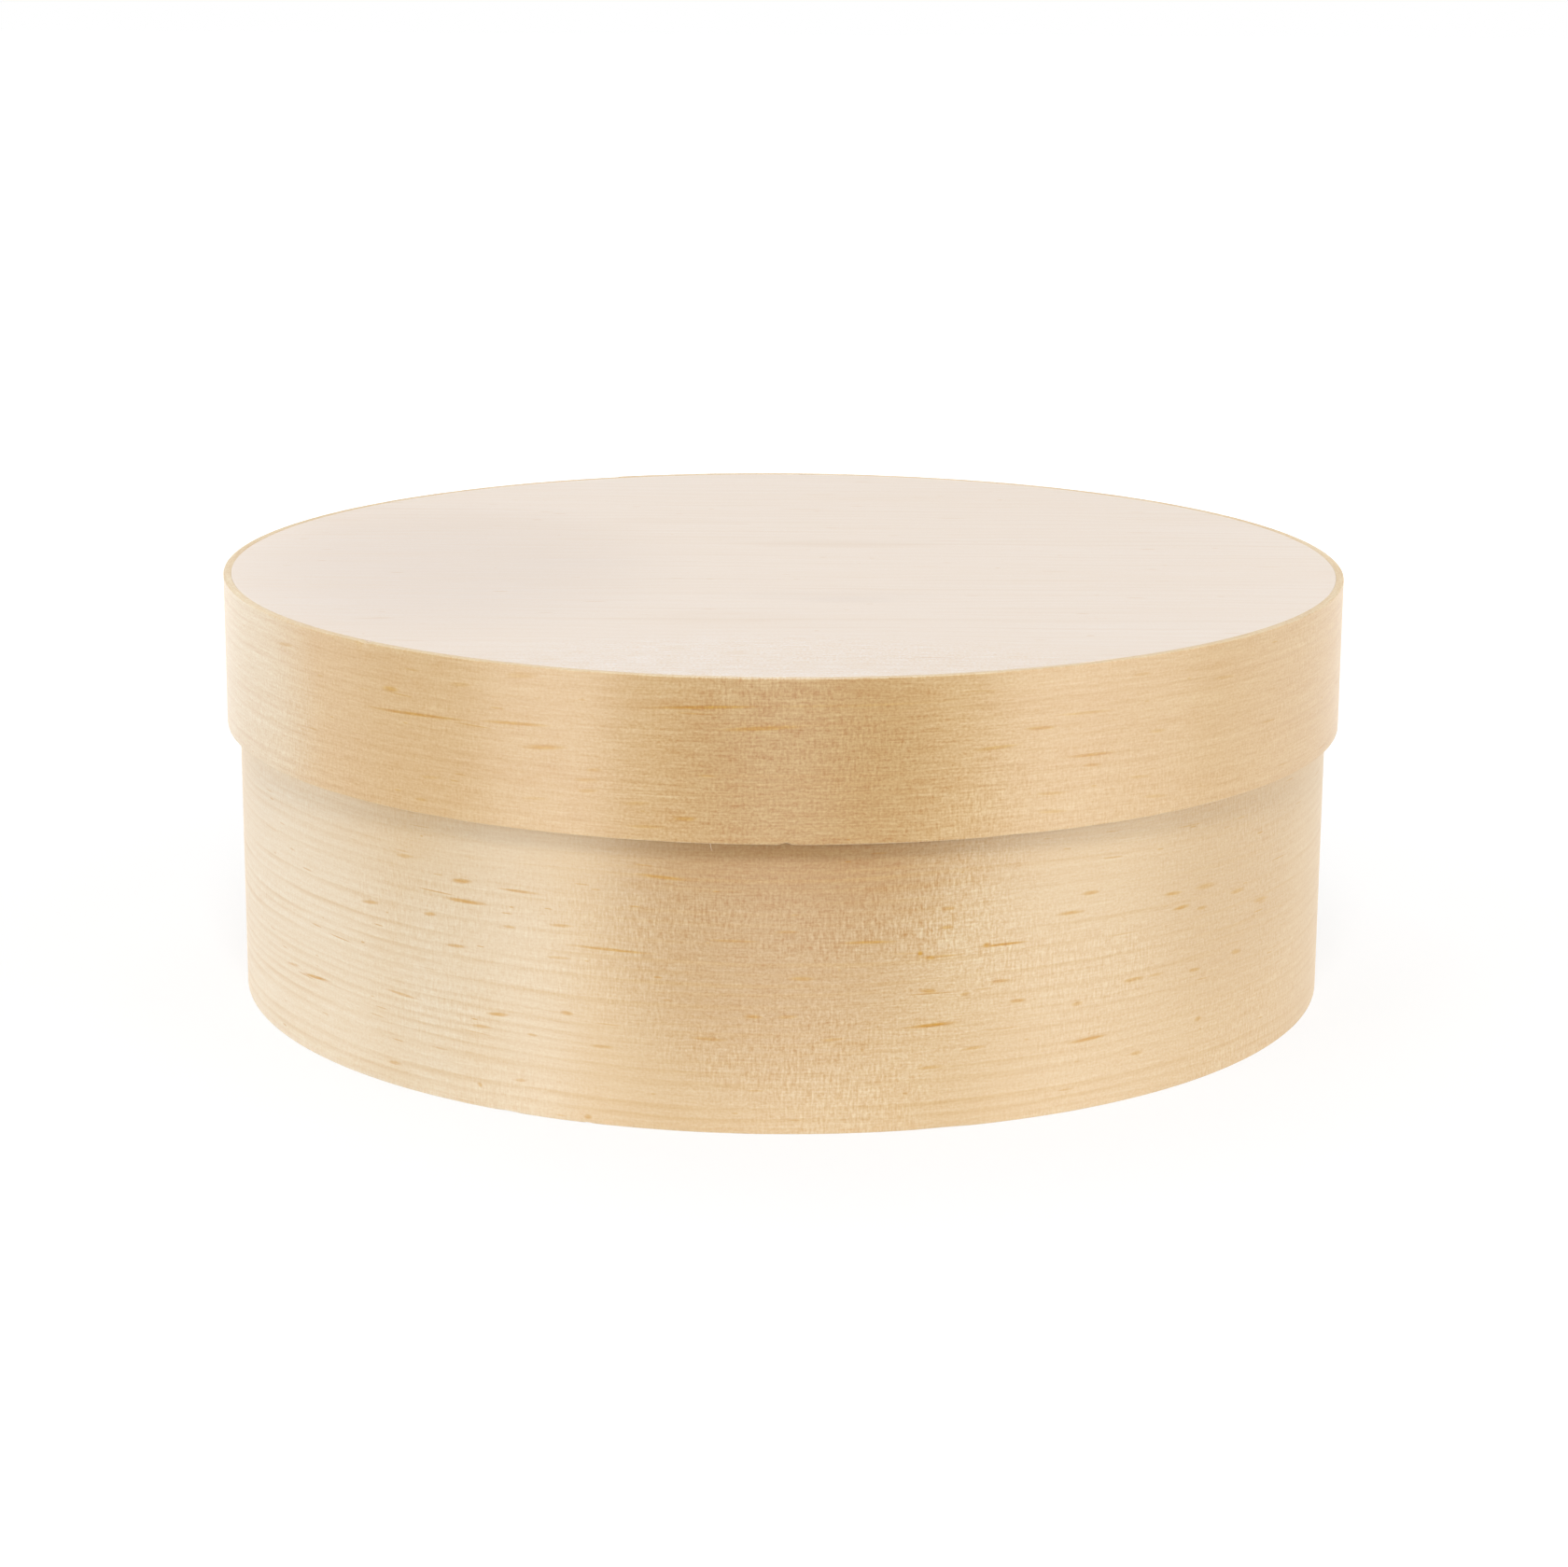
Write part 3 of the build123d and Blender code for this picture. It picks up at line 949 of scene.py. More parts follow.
def staple_tree():
    """Geometry nodes for a row of clinched flat-wire staples, one above the other."""
    draft, given = geometry_tree(
        "Row of staples",
        (
            "crown", "depth", "wire_width", "wire_thickness", "bend", "wire_rounding", "clinch_gap", "radius",
            "turn", "lowest", "spacing",
        ),
        ("count",),
    )
    wire_thickness = given.wire_thickness

    # The wire's middle line, from one clinched end through the four corners to the other end
    step = draft.field(draft.shape("GeometryNodeInputIndex")) - (WIRE_CORNERS - 1) / 2
    is_outside = draft.math("LESS_THAN", abs(step), 1.0)
    is_end = draft.math("GREATER_THAN", abs(step), 2.0)
    half_depth = (given.depth - wire_thickness) / 2
    half_crown = (given.crown - wire_thickness) / 2
    half_height = half_crown + (given.clinch_gap / 2 - half_crown) * is_end
    corner = draft.join(half_depth * (is_outside * 2 - 1), half_height * draft.math("SIGN", step))
    points = draft.shape("GeometryNodePoints", WIRE_CORNERS, corner)
    line = draft.shape("GeometryNodePointsToCurves", points)
    line = draft.shape("GeometryNodeFilletCurve", line, BEND_POINTS, given.bend, mode="POLY")
    line = draft.shape("GeometryNodeSetCurveNormal", line, mode="Z_UP")
    flat = draft.shape("GeometryNodeCurvePrimitiveQuadrilateral", wire_thickness, given.wire_width)
    flat = draft.shape("GeometryNodeFilletCurve", flat, WIRE_EDGE_POINTS, given.wire_rounding, mode="POLY")
    wire = draft.shape("GeometryNodeCurveToMesh", line, flat, None, True)

    # The row, with each staple's legs driven towards the box's axis
    turn = given.turn
    start = draft.join(
        draft.math("COSINE", turn) * given.radius,
        draft.math("SINE", turn) * given.radius,
        given.lowest,
    )
    upward = draft.join(0.0, 0.0, given.spacing)
    row = draft.shape("GeometryNodeMeshLine", given.count, None, start, upward)
    upright = draft.shape("FunctionNodeEulerToRotation", draft.join(math.pi / 2, 0.0, turn))
    staples = draft.shape("GeometryNodeInstanceOnPoints", row, None, wire, None, None, upright)
    return finish_tree(draft, staples, given.material)


def fibre_tree():
    """Geometry nodes for loose wood fibres that hang from a round edge."""
    draft, given = geometry_tree(
        "Loose fibres",
        ("radius", "height", "first_angle", "sweep", "shortest", "longest", "thickness"),
        ("count", "seed"),
    )

    def chance(low, high, shift):
        """A random value for each fibre. The node's inputs for numbers are its third, fourth and ninth."""
        node = draft.add("FunctionNodeRandomValue", data_type="FLOAT")
        for place, value in ((2, low), (3, high), (8, given.seed + shift)):
            draft.fill(node.inputs[place], value)
        return draft.field(node.outputs[1])

    angle = given.first_angle + given.sweep * chance(0.0, 1.0, 0)
    place = draft.join(
        draft.math("SINE", angle) * given.radius,
        draft.math("COSINE", angle) * given.radius * -1.0,
        given.height,
    )
    roots = draft.shape("GeometryNodePoints", given.count, place)
    line = draft.shape("GeometryNodeCurvePrimitiveLine", (0, 0, 0), (0, 0, -1))
    line = draft.shape("GeometryNodeResampleCurve", line, None, FIBRE_POINTS)
    down = draft.field(draft.shape("GeometryNodeSplineParameter"))
    curl = draft.join(down * down * FIBRE_CURL_SHARE, 0.0)
    line = draft.shape("GeometryNodeSetPosition", line, None, None, curl)
    section = draft.shape("GeometryNodeCurvePrimitiveCircle", FIBRE_SIDES)
    draft.fill(section.node.inputs["Radius"], 1 / 2)
    fibre = draft.shape("GeometryNodeCurveToMesh", line, section, 1.0 - down * FIBRE_TAPER_SHARE, True)
    length = chance(given.shortest, given.longest, 1)
    thickness = given.thickness
    lean = draft.join(
        chance(-FIBRE_LEAN, FIBRE_LEAN, 2), chance(-FIBRE_LEAN, FIBRE_LEAN, 3), chance(0.0, FIBRE_TURN, 4)
    )
    turned = draft.shape("FunctionNodeEulerToRotation", lean)
    scale = draft.join(thickness, thickness, length)
    fibres = draft.shape("GeometryNodeInstanceOnPoints", roots, None, fibre, None, None, turned, scale)
    return finish_tree(draft, fibres, given.material)


def disc_profile(radius, bottom, top, rounding):
    """Half of a disc's outline, from the middle of its top over the rounded rim to that of its underside."""
    flat = radius - rounding
    face = [flat - flat * (place / DISC_RINGS) ** 2 for place in range(DISC_RINGS)]
    rim = [math.pi / 2 * place / DISC_RIM_POINTS for place in range(DISC_RIM_POINTS + 1)]
    profile = [(r, top) for r in reversed(face)]
    profile += [(flat + rounding * math.sin(a), top - rounding + rounding * math.cos(a)) for a in rim[1:]]
    profile += [(flat + rounding * math.cos(a), bottom + rounding - rounding * math.sin(a)) for a in rim]
    return profile + [(r, bottom) for r in face[1:]]


def disc_mesh(name, sizes, radius, bottom, top, grain_turn, material):
    """A sanded disc, closed at both centres, whose grain runs straight across."""
    mesh = bpy.data.meshes.new(name)
    shaper = bmesh.new()
    loops = []
    for r, level in disc_profile(radius, bottom, top, sizes.disc_rounding):
        loop = []
        for place in range(DISC_SEGMENTS):
            angle = 2 * math.pi * place / DISC_SEGMENTS
            x, y = r * math.cos(angle), r * math.sin(angle)
            low = noise.noise((x / HOLLOW_LENGTH, y / HOLLOW_WIDTH, level / MM))
            sunk = sizes.disc_unevenness * (0.5 + 0.5 * low)
            inward = -sunk if level > (top + bottom) / 2 else sunk
            loop.append(shaper.verts.new((x, y, level + inward)))
        loops.append(loop)
    for upper, lower in zip(loops, loops[1:]):
        for place in range(DISC_SEGMENTS):
            after = (place + 1) % DISC_SEGMENTS
            shaper.faces.new((upper[place], lower[place], lower[after], upper[after]))
    for loop, level in ((loops[0], top), (loops[-1], bottom)):
        middle = shaper.verts.new((0, 0, sum(vertex.co.z for vertex in loop) / DISC_SEGMENTS))
        for place in range(DISC_SEGMENTS):
            pair = (loop[place], loop[(place + 1) % DISC_SEGMENTS])
            shaper.faces.new((middle, *(pair if level == top else reversed(pair))))
    bmesh.ops.recalc_face_normals(shaper, faces=shaper.faces)

    grain = shaper.loops.layers.uv.new(GRAIN_MAP)
    turned = Matrix.Rotation(grain_turn, 2)
    for face in shaper.faces:
        face.smooth = True
        for corner in face.loops:
            spot = turned @ corner.vert.co.xy
            corner[grain].uv = (spot.x, spot.y + corner.vert.co.z - top)
    shaper.to_mesh(mesh)
    shaper.free()
    mesh.materials.append(material)
    mesh.set_sharp_from_angle(angle=SHARP_ANGLE)
    return add_object(name, mesh)


def dashes(draft, spot, kind, seed, amount):
    """Short resin streaks, at most one in each cell of a shifted grid, in the given share of the cells."""
    along, up = draft.split(spot)[:2]
    row = draft.math("FLOOR", up / kind.height)
    row_seed = row + (seed + kind.seed)
    shift = draft.field(draft.shape("ShaderNodeTexWhiteNoise", None, row_seed, noise_dimensions="1D"))
    column_place = along / kind.length + shift
    column = draft.math("FLOOR", column_place)
    cell = draft.join(column, row, seed + kind.seed)
    dice = draft.add("ShaderNodeTexWhiteNoise", cell, noise_dimensions="3D")
    first, second, third = draft.split(dice.outputs["Color"])
    half = second**2.0 * (kind.longest / 2) + kind.longest * SHORTEST_DASH_SHARE
    from_middle = (draft.math("FRACT", column_place) - 0.5) * kind.length
    from_middle = from_middle - (first - 0.5) * (kind.length - kind.longest)
    off_line = (draft.math("FRACT", up / kind.height) - 0.5) * kind.height
    off_line = off_line - (third - 0.5) * (kind.height * DASH_HEIGHT_SHARE)
    slant = off_line - from_middle * ((first - 0.5) * DASH_SLANT_SHARE)
    far = (from_middle / half) ** 2.0 + (slant / (kind.width / 2)) ** 2.0
    there = draft.math("LESS_THAN", draft.field(dice.outputs["Value"]), amount * kind.share)
    return draft.ease(far, DASH_CORE_SHARE, 1.0, 1.0, 0.0) * there * third.at_least(FAINTEST_DASH_SHARE)


def marks(draft, spot, placed):
    """The given marks: the strongest of the pointed ovals at each spot."""
    total = draft.field(draft.shape("ShaderNodeValue"))
    for start, end, width, strength in placed:
        middle = (start + end) / 2
        run = end - start
        oval = draft.shape(
            "ShaderNodeMapping",
            spot,
            (middle.x, middle.y, 0.0),
            (0.0, 0.0, math.atan2(run.y, run.x)),
            (run.length / 2 * FADE_LENGTH, width / 2 * FADE_WIDTH, 1.0),
            vector_type="TEXTURE",
        )
        far = draft.field(draft.add("ShaderNodeVectorMath", oval, operation="LENGTH").outputs["Value"])
        total = draft.math("MAXIMUM", total, draft.ease(far, MARK_CORE_SHARE, 1.0, strength, 0.0))
    return total


def placed_marks(found, locate):
    """Turns marks in pixels into their two ends in millimetres on the wood."""
    return [
        (
            Vector(locate(mark.left, mark.left_level)),
            Vector(locate(mark.right, mark.right_level)),
            mark.width,
            mark.strength,
        )
        for mark in found
    ]


class Grain:
    """The grain of one kind of wood, in millimetres on the piece's own grain map."""

    def __init__(self, draft, look, rough):
        self.draft = draft
        self.look = look
        grain_map = draft.shape("ShaderNodeUVMap", uv_map=GRAIN_MAP)
        place = draft.add("ShaderNodeVectorMath", grain_map, operation="SCALE")
        place.inputs["Scale"].default_value = 1 / MM
        self.along, self.up, _ = draft.split(place.outputs[0])

        # The grain drifts slowly up and down along the strip
        slow = self.swing(SLOW_DRIFT, self.up)
        self.quick = self.swing(QUICK_DRIFT, self.up)
        self.level = self.up + slow * look.drift + self.quick * (look.drift * QUICK_DRIFT_SHARE)
        self.spot = draft.join(self.along, self.level)
        self.rings = self.growth_rings()

        # Fibres along the grain, from soft streaks to fine lines, and specks
        self.streaks = self.swing(STREAKS, self.level)
        fibres = self.swing(FIBRES, self.level)
        specks = self.swing(SPECKS, self.level)

        # Fine marks across the grain, strongest in patches. All stand up more where the wood is rough
        ticks = self.swing(TICKS, self.level)
        patchy = draft.ease(self.layer(TICK_PATCHES, self.level), *TICK_PATCH_SHARES)
        raised = self.patch_share(rough, self.up) + 1.0
        self.weave = ticks * patchy.at_least(FAINTEST_TICK_SHARE) * raised
        self.specks = specks * raised
        self.fibres = fibres * raised

    def layer(self, kind, height):
        """A layer of noise, between 0 and 1."""
        spot = self.draft.join(self.along / kind.length, height / kind.height, self.look.seed + kind.seed)
        return self.draft.cloud(spot, kind.detail, kind.roughness)

    def swing(self, kind, height):
        """A layer of noise, between -0.5 and 0.5."""
        return self.layer(kind, height) - 0.5

    def patch_share(self, patches, height):
        """How much a spot belongs to some patches: an attribute of the mesh, or ovals on the wood."""
        if isinstance(patches, str):
            patch = self.draft.add("ShaderNodeAttribute", attribute_name=patches)
            return self.draft.field(patch.outputs["Fac"])
        return soft_patches(self.draft, self.along, height, patches)

    def growth_rings(self):
        """Pale early wood, then a thin darker line of late wood, again and again."""
        draft, look = self.draft, self.look
        pace_place = draft.join(0.0, self.level / RING_PACE_HEIGHT, look.seed + RING_PACE_SEED)
        pace = draft.cloud(pace_place, RING_PACE_DETAIL) * RING_PACE_SWING
        ring_place = self.level / look.ring_spacing + pace
        ring = draft.math("FRACT", ring_place)
        ring_number = draft.math("FLOOR", ring_place)
        dice = draft.field(draft.shape("ShaderNodeTexWhiteNoise", None, ring_number, noise_dimensions="1D"))
        late = draft.ease(ring, *LATE_WOOD_START) * draft.ease(ring, *LATE_WOOD_END, 1.0, 0.0)
        fading = draft.ease(self.layer(RING_FADING, self.level), *RING_FADING_SHARES)
        return late * dice.at_least(FAINTEST_RING_SHARE) * fading.at_least(FAINTEST_RING_SHARE)

    def resin(self, dark_marks):
        """Resin streaks: faint chance ones all round, and those that the photograph shows."""
        draft, look = self.draft, self.look
        long_dashes = dashes(draft, self.spot, LONG_DASHES, look.seed, look.dash_share)
        short_dashes = dashes(draft, self.spot, SHORT_DASHES, look.seed, look.dash_share)
        chance_marks = draft.math("MAXIMUM", long_dashes, short_dashes)
        wobble = self.quick * MARK_WOBBLE
        seen_marks = marks(draft, draft.join(self.along, self.up + wobble), dark_marks)
        broken = draft.ease(self.layer(MARK_BREAKS, self.up), *MARK_BREAK_SHARES)
        chance_marks = chance_marks * CHANCE_MARK_SHARE
        return draft.math("MAXIMUM", chance_marks, seen_marks * broken.at_least(FAINTEST_MARK_SHARE))


def wood_colour(grain, colours, tones, resin):
    """The colour of the wood, and how much each spot belongs to a cut edge."""
    draft, look = grain.draft, grain.look

    def tint(wanted):
        return (*getattr(colours, wanted), 1)

    patch = grain.swing(TONE_PATCHES, grain.up)
    shade = (
        1.0
        + patch * look.patch_contrast
        + grain.streaks * look.streak_contrast
        + grain.fibres * look.fibre_contrast
        + grain.specks * look.speck_contrast
        + grain.weave * look.weave_contrast
    )
    colour = tint(look.pale)
    # Tones laid over the wood, among them painted shade and painted sheen
    for tone in tones:
        mask = grain.patch_share(tone.patches, grain.up + grain.streaks * TONE_FRAY)
        colour = draft.blend(mask * tone.share, colour, tint(tone.colour))
    colour = draft.blend(draft.share(grain.rings * look.ring_contrast), colour, tint(look.ring))
    colour = draft.blend(draft.share(resin * RESIN_SHARE), colour, tint("resin"))
    cut = grain.patch_share(CUT_EDGE, grain.up)
    colour = draft.blend(cut * CUT_SHARE, colour, tint("cut_edge"))
    red = shade * RED_SHARE + (1 - RED_SHARE)
    green = shade * GREEN_SHARE + (1 - GREEN_SHARE)
    blue = draft.math("MAXIMUM", shade * BLUE_SHARE - (BLUE_SHARE - 1), LEAST_BLUE_SHARE)
    toned = draft.add("ShaderNodeVectorMath", colour, draft.join(red, green, blue), operation="MULTIPLY")
    return toned.outputs[0], cut


def wood_relief(grain):
    """The late wood stands a little proud, and the fibres and cross marks are fine."""
    relief = (
        grain.rings * RING_RELIEF_SHARE
        + grain.fibres * FIBRE_RELIEF_SHARE
        + grain.streaks * STREAK_RELIEF_SHARE
        + grain.weave * TICK_RELIEF_SHARE
        + grain.specks * SPECK_RELIEF_SHARE
    )
    bump = grain.draft.add("ShaderNodeBump", RELIEF_SHARE, GRAIN_DEPTH)
    grain.draft.fill(bump.inputs["Height"], relief)
    return bump.outputs[0]


def wood_material(name, colours, look, dark_marks=(), tones=(), rough=RAISED_FIBRES):
    """Bare wood with a sheen across its fibres, as sliced wood has."""
    material, draft = new_material(name)
    grain = Grain(draft, look, rough)
    colour, cut = wood_colour(grain, colours, tones, grain.resin(dark_marks))
    relief = wood_relief(grain)
    surface = draft.add("ShaderNodeBsdfPrincipled", colour)
    dullness = look.roughness + grain.fibres * FIBRE_DULLNESS_SHARE - grain.rings * RING_POLISH_SHARE
    draft.fill(surface.inputs["Roughness"], dullness + cut * CUT_DULLNESS_SHARE)
    draft.fill(surface.inputs["Normal"], relief)
    surface.inputs["IOR"].default_value = WOOD_IOR
    surface.inputs["Specular IOR Level"].default_value = SHEEN_SHARE
    surface.inputs["Anisotropic"].default_value = look.polish
    surface.inputs["Anisotropic Rotation"].default_value = QUARTER_TURN_SHARE
    tangent = draft.add("ShaderNodeTangent", direction_type="UV_MAP", uv_map=GRAIN_MAP)
    draft.fill(surface.inputs["Tangent"], tangent.outputs[0])
    draft.add("ShaderNodeOutputMaterial", surface.outputs[0])
    return material


def wire_material(name, colour):
    """Zinc-coated flat wire with a dull, lightly scratched face."""
    material, draft = new_material(name)
    place = draft.add("ShaderNodeTexCoord").outputs["Object"]
    x, y, z = [axis * (1 / MM) for axis in draft.split(place)]
    mottle = draft.cloud(draft.join(x, y, z), WIRE_DETAIL) - 0.5
    scratch_place = draft.join(x * SCRATCHES_ACROSS, y * SCRATCHES_ACROSS, z * SCRATCHES_UP)
    scratches = draft.cloud(scratch_place, WIRE_DETAIL) - 0.5
    toned = draft.add("ShaderNodeVectorMath", (*colour,), operation="SCALE")
    draft.fill(toned.inputs["Scale"], 1.0 + mottle * MOTTLE_SHARE)
    bump = draft.add("ShaderNodeBump", SCRATCH_SHARE, SCRATCH_DEPTH)
    draft.fill(bump.inputs["Height"], scratches)
    surface = draft.add("ShaderNodeBsdfPrincipled", toned.outputs[0], METAL_SHARE)
    draft.fill(surface.inputs["Roughness"], WIRE_ROUGHNESS_SHARE + mottle * MOTTLE_DULLNESS_SHARE)
    draft.fill(surface.inputs["Normal"], bump.outputs[0])
    draft.add("ShaderNodeOutputMaterial", surface.outputs[0])
    return material


class CHEESEBOX_OT_lid_band(bpy.types.Operator):
    """Bend the lid's band and close it at the back"""

    bl_idname = "cheese_box.lid_band"
    bl_label = "Lid band"

    def execute(self, context):
        sizes = context.scene.cheese_box_sizes
        place = (sizes.lid_radius, sizes.lid_bottom, sizes.lid_top, sizes.lid_seam)
        piece = bent_strip(context, "lid_band_veneer", BAND, *place)
        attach(piece, "lid")
        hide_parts("lid_band")
        return {"FINISHED"}


class CHEESEBOX_OT_body_wall(bpy.types.Operator):
    """Bend the body's wall and close it at the back"""

    bl_idname = "cheese_box.body_wall"
    bl_label = "Body wall"

    def execute(self, context):
        sizes = context.scene.cheese_box_sizes
        place = (sizes.wall_radius, sizes.wall_bottom, sizes.wall_top, sizes.wall_seam)
        piece = bent_strip(context, "body_wall_veneer", WALL, *place)
        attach(piece, "box_body")
        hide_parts("body_wall")
        return {"FINISHED"}


class CHEESEBOX_OT_lid_disc(bpy.types.Operator):
    """Make the flat top that is set into the lid's band"""

    bl_idname = "cheese_box.lid_disc"
    bl_label = "Top disc"

    def execute(self, context):
        scene = context.scene
        sizes, studio = scene.cheese_box_sizes, scene.cheese_box_studio

        def locate(pixel, level):
            return on_top(studio, pixel, level, sizes.lid_top)

        # The tones: warm patches, and grey patches with painted shade over the left of the top
        tones = (
            Tone(placed_marks(TOP_WARM_PATCHES, locate), "disc_ring", TOP_WARM_SHARE),
            Tone(placed_marks(TOP_GREY_AND_SHADE_PATCHES, locate), "disc_grey", TOP_GREY_AND_SHADE_SHARE),
        )
        rough = placed_marks(TOP_ROUGH_PATCHES, locate)
        material = wood_material("top disc wood", scene.cheese_box_colours, TOP_LOOK, (), tones, rough)
        radius = sizes.lid_radius - sizes.veneer - sizes.disc_fit
        piece = disc_mesh("lid_top_disc", sizes, radius, LID_DISC_LOW.z, LID_DISC_HIGH.z, 0.0, material)
        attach(piece, "lid")
        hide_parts("lid_disc")
        return {"FINISHED"}


class CHEESEBOX_OT_base_disc(bpy.types.Operator):
    """Make the floor that is set into the body's wall"""

    bl_idname = "cheese_box.base_disc"
    bl_label = "Base disc"

    def execute(self, context):
        scene = context.scene
        sizes = scene.cheese_box_sizes
        material = wood_material("base disc wood", scene.cheese_box_colours, BASE_LOOK)
        radius = sizes.wall_radius - sizes.veneer - sizes.disc_fit
        heights = (BASE_DISC_LOW.z, BASE_DISC_HIGH.z)
        piece = disc_mesh("base_floor_disc", sizes, radius, *heights, BASE_GRAIN_TURN, material)
        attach(piece, "box_body")
        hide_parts("base_disc")
        return {"FINISHED"}


class CHEESEBOX_OT_staples(bpy.types.Operator):
    """Drive the flat-wire staples through both lap joints"""

    bl_idname = "cheese_box.staples"
    bl_label = "Staples"

    def execute(self, context):
        scene = context.scene
        sizes, staples = scene.cheese_box_sizes, scene.cheese_box_staples
        material = wire_material("staple wire", scene.cheese_box_colours.wire)
        tree = staple_tree()
        depth = sizes.veneer + sizes.tip + sizes.glue_line + 2 * staples.proud
        rows = (
            ("lid_band_staples", "lid", "lid_staples", sizes.lid_radius, staples.lid_count),
            ("body_wall_staples", "box_body", "body_staples", sizes.wall_radius, staples.wall_count),
        )
        for name, body, node, radius, count in rows:
            low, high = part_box(node)
            middle = (low + high) / 2
            own = {
                "depth": depth,
                "radius": radius - sizes.veneer + depth / 2 - staples.proud,
                "turn": math.atan2(middle.y, middle.x),
                "lowest": low.z + staples.crown / 2,
                "spacing": (high.z - low.z - staples.crown) / max(count - 1, 1),
                "count": count,
                "material": material,
            }
            piece = grow(name, tree, own, staples)
            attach(piece, body)
            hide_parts(node)
        return {"FINISHED"}


class CHEESEBOX_OT_fibres(bpy.types.Operator):
    """Leave a few loose fibres on the lid's cut lower edge"""

    bl_idname = "cheese_box.fibres"
    bl_label = "Loose fibres"

    def execute(self, context):
        scene = context.scene
        sizes = scene.cheese_box_sizes
        material = wood_material("loose fibre", scene.cheese_box_colours, FIBRE_LOOK)
        tree = fibre_tree()
        spot = on_strip(scene.cheese_box_studio, HANGING_FIBRE_PIXEL, HANGING_FIBRE_LEVEL, sizes.lid_radius)
        rows = (
            ("lid_edge_fibres", EDGE_FIBRES, 0.0),
            ("lid_hanging_fibre", HANGING_FIBRE, spot[0] * MM / sizes.lid_radius),
        )
        for name, row, first_angle in rows:
            own = {
                "radius": sizes.lid_radius - FIBRE_DEPTH_SHARE * sizes.veneer,
                "height": sizes.lid_bottom + sizes.edge_rounding,
                "first_angle": first_angle,
                "material": material,
            }
            piece = grow(name, tree, own, row)
            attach(piece, "lid")
        return {"FINISHED"}


def grey(share):
    """A grey, from black at 0 to white at 1."""
    return (share, share, share, 1)


def mottled(draft, place, shares):
    """A dull surface that wavers between two greys."""
    dark, light = shares
    return draft.add("ShaderNodeBsdfDiffuse", draft.blend(draft.cloud(place), grey(dark), grey(light)))


def shown_rays(draft):
    """1 for the rays that show a surface to the camera, straight or in a reflection, and 0 for the others."""
    path = draft.add("ShaderNodeLightPath").outputs
    seen = draft.math("MAXIMUM", path["Is Camera Ray"], path["Is Glossy Ray"])
    return draft.math("MAXIMUM", seen, path["Is Transmission Ray"])


def floor_material(studio):
    """White paint that keeps the box's faint shadow and shows a white room to the camera."""
    material, draft = new_material("white floor")
    seen = shown_rays(draft)
    place = draft.add("ShaderNodeTexCoord").outputs["Object"]
    paint = mottled(draft, place, FLOOR_SHARES)
    away = draft.add("ShaderNodeVectorMath", place, operation="LENGTH").outputs["Value"]
    pool = draft.add("ShaderNodeEmission", grey(1), draft.ease(away, *POOL_REACH, studio.floor_pool, 0.0))
    lit = draft.shape("ShaderNodeAddShader", paint.outputs[0], pool.outputs[0])
    faint = draft.add("ShaderNodeBsdfDiffuse", grey(SHOWN_FLOOR_SHARE))
    glow = draft.add("ShaderNodeEmission", grey(1), draft.ease(away, *GLOW_REACH, LEAST_GLOW_SHARE, 1.0))
    shown = draft.shape("ShaderNodeAddShader", faint.outputs[0], glow.outputs[0])
    draft.add("ShaderNodeOutputMaterial", draft.shape("ShaderNodeMixShader", seen, lit, shown))
    return material


def cloth_material():
    """Dull black cloth."""
    material, draft = new_material("black cloth")
    cloth = mottled(draft, draft.add("ShaderNodeTexCoord").outputs["Object"], CLOTH_SHARES)
    draft.add("ShaderNodeOutputMaterial", cloth.outputs[0])
    return material


def flat_piece(name, corners, faces, material):
    """A piece of the studio, made of a few flat faces."""
    mesh = bpy.data.meshes.new(name)
    mesh.from_pydata(corners, [], faces)
    mesh.materials.append(material)
    return add_object(name, mesh)


def hang_light(name, width, height, place, away, power):
    """A rectangular light that faces away from the given direction, with a power for each square metre."""
    light = bpy.data.lights.new(name, "AREA")
    light.shape = "RECTANGLE"
    light.size, light.size_y = width, height
    light.energy = power * width * height
    lamp = add_object(name, light)
    lamp.location = place
    lamp.rotation_euler = away.to_track_quat("Z", "Y").to_euler()


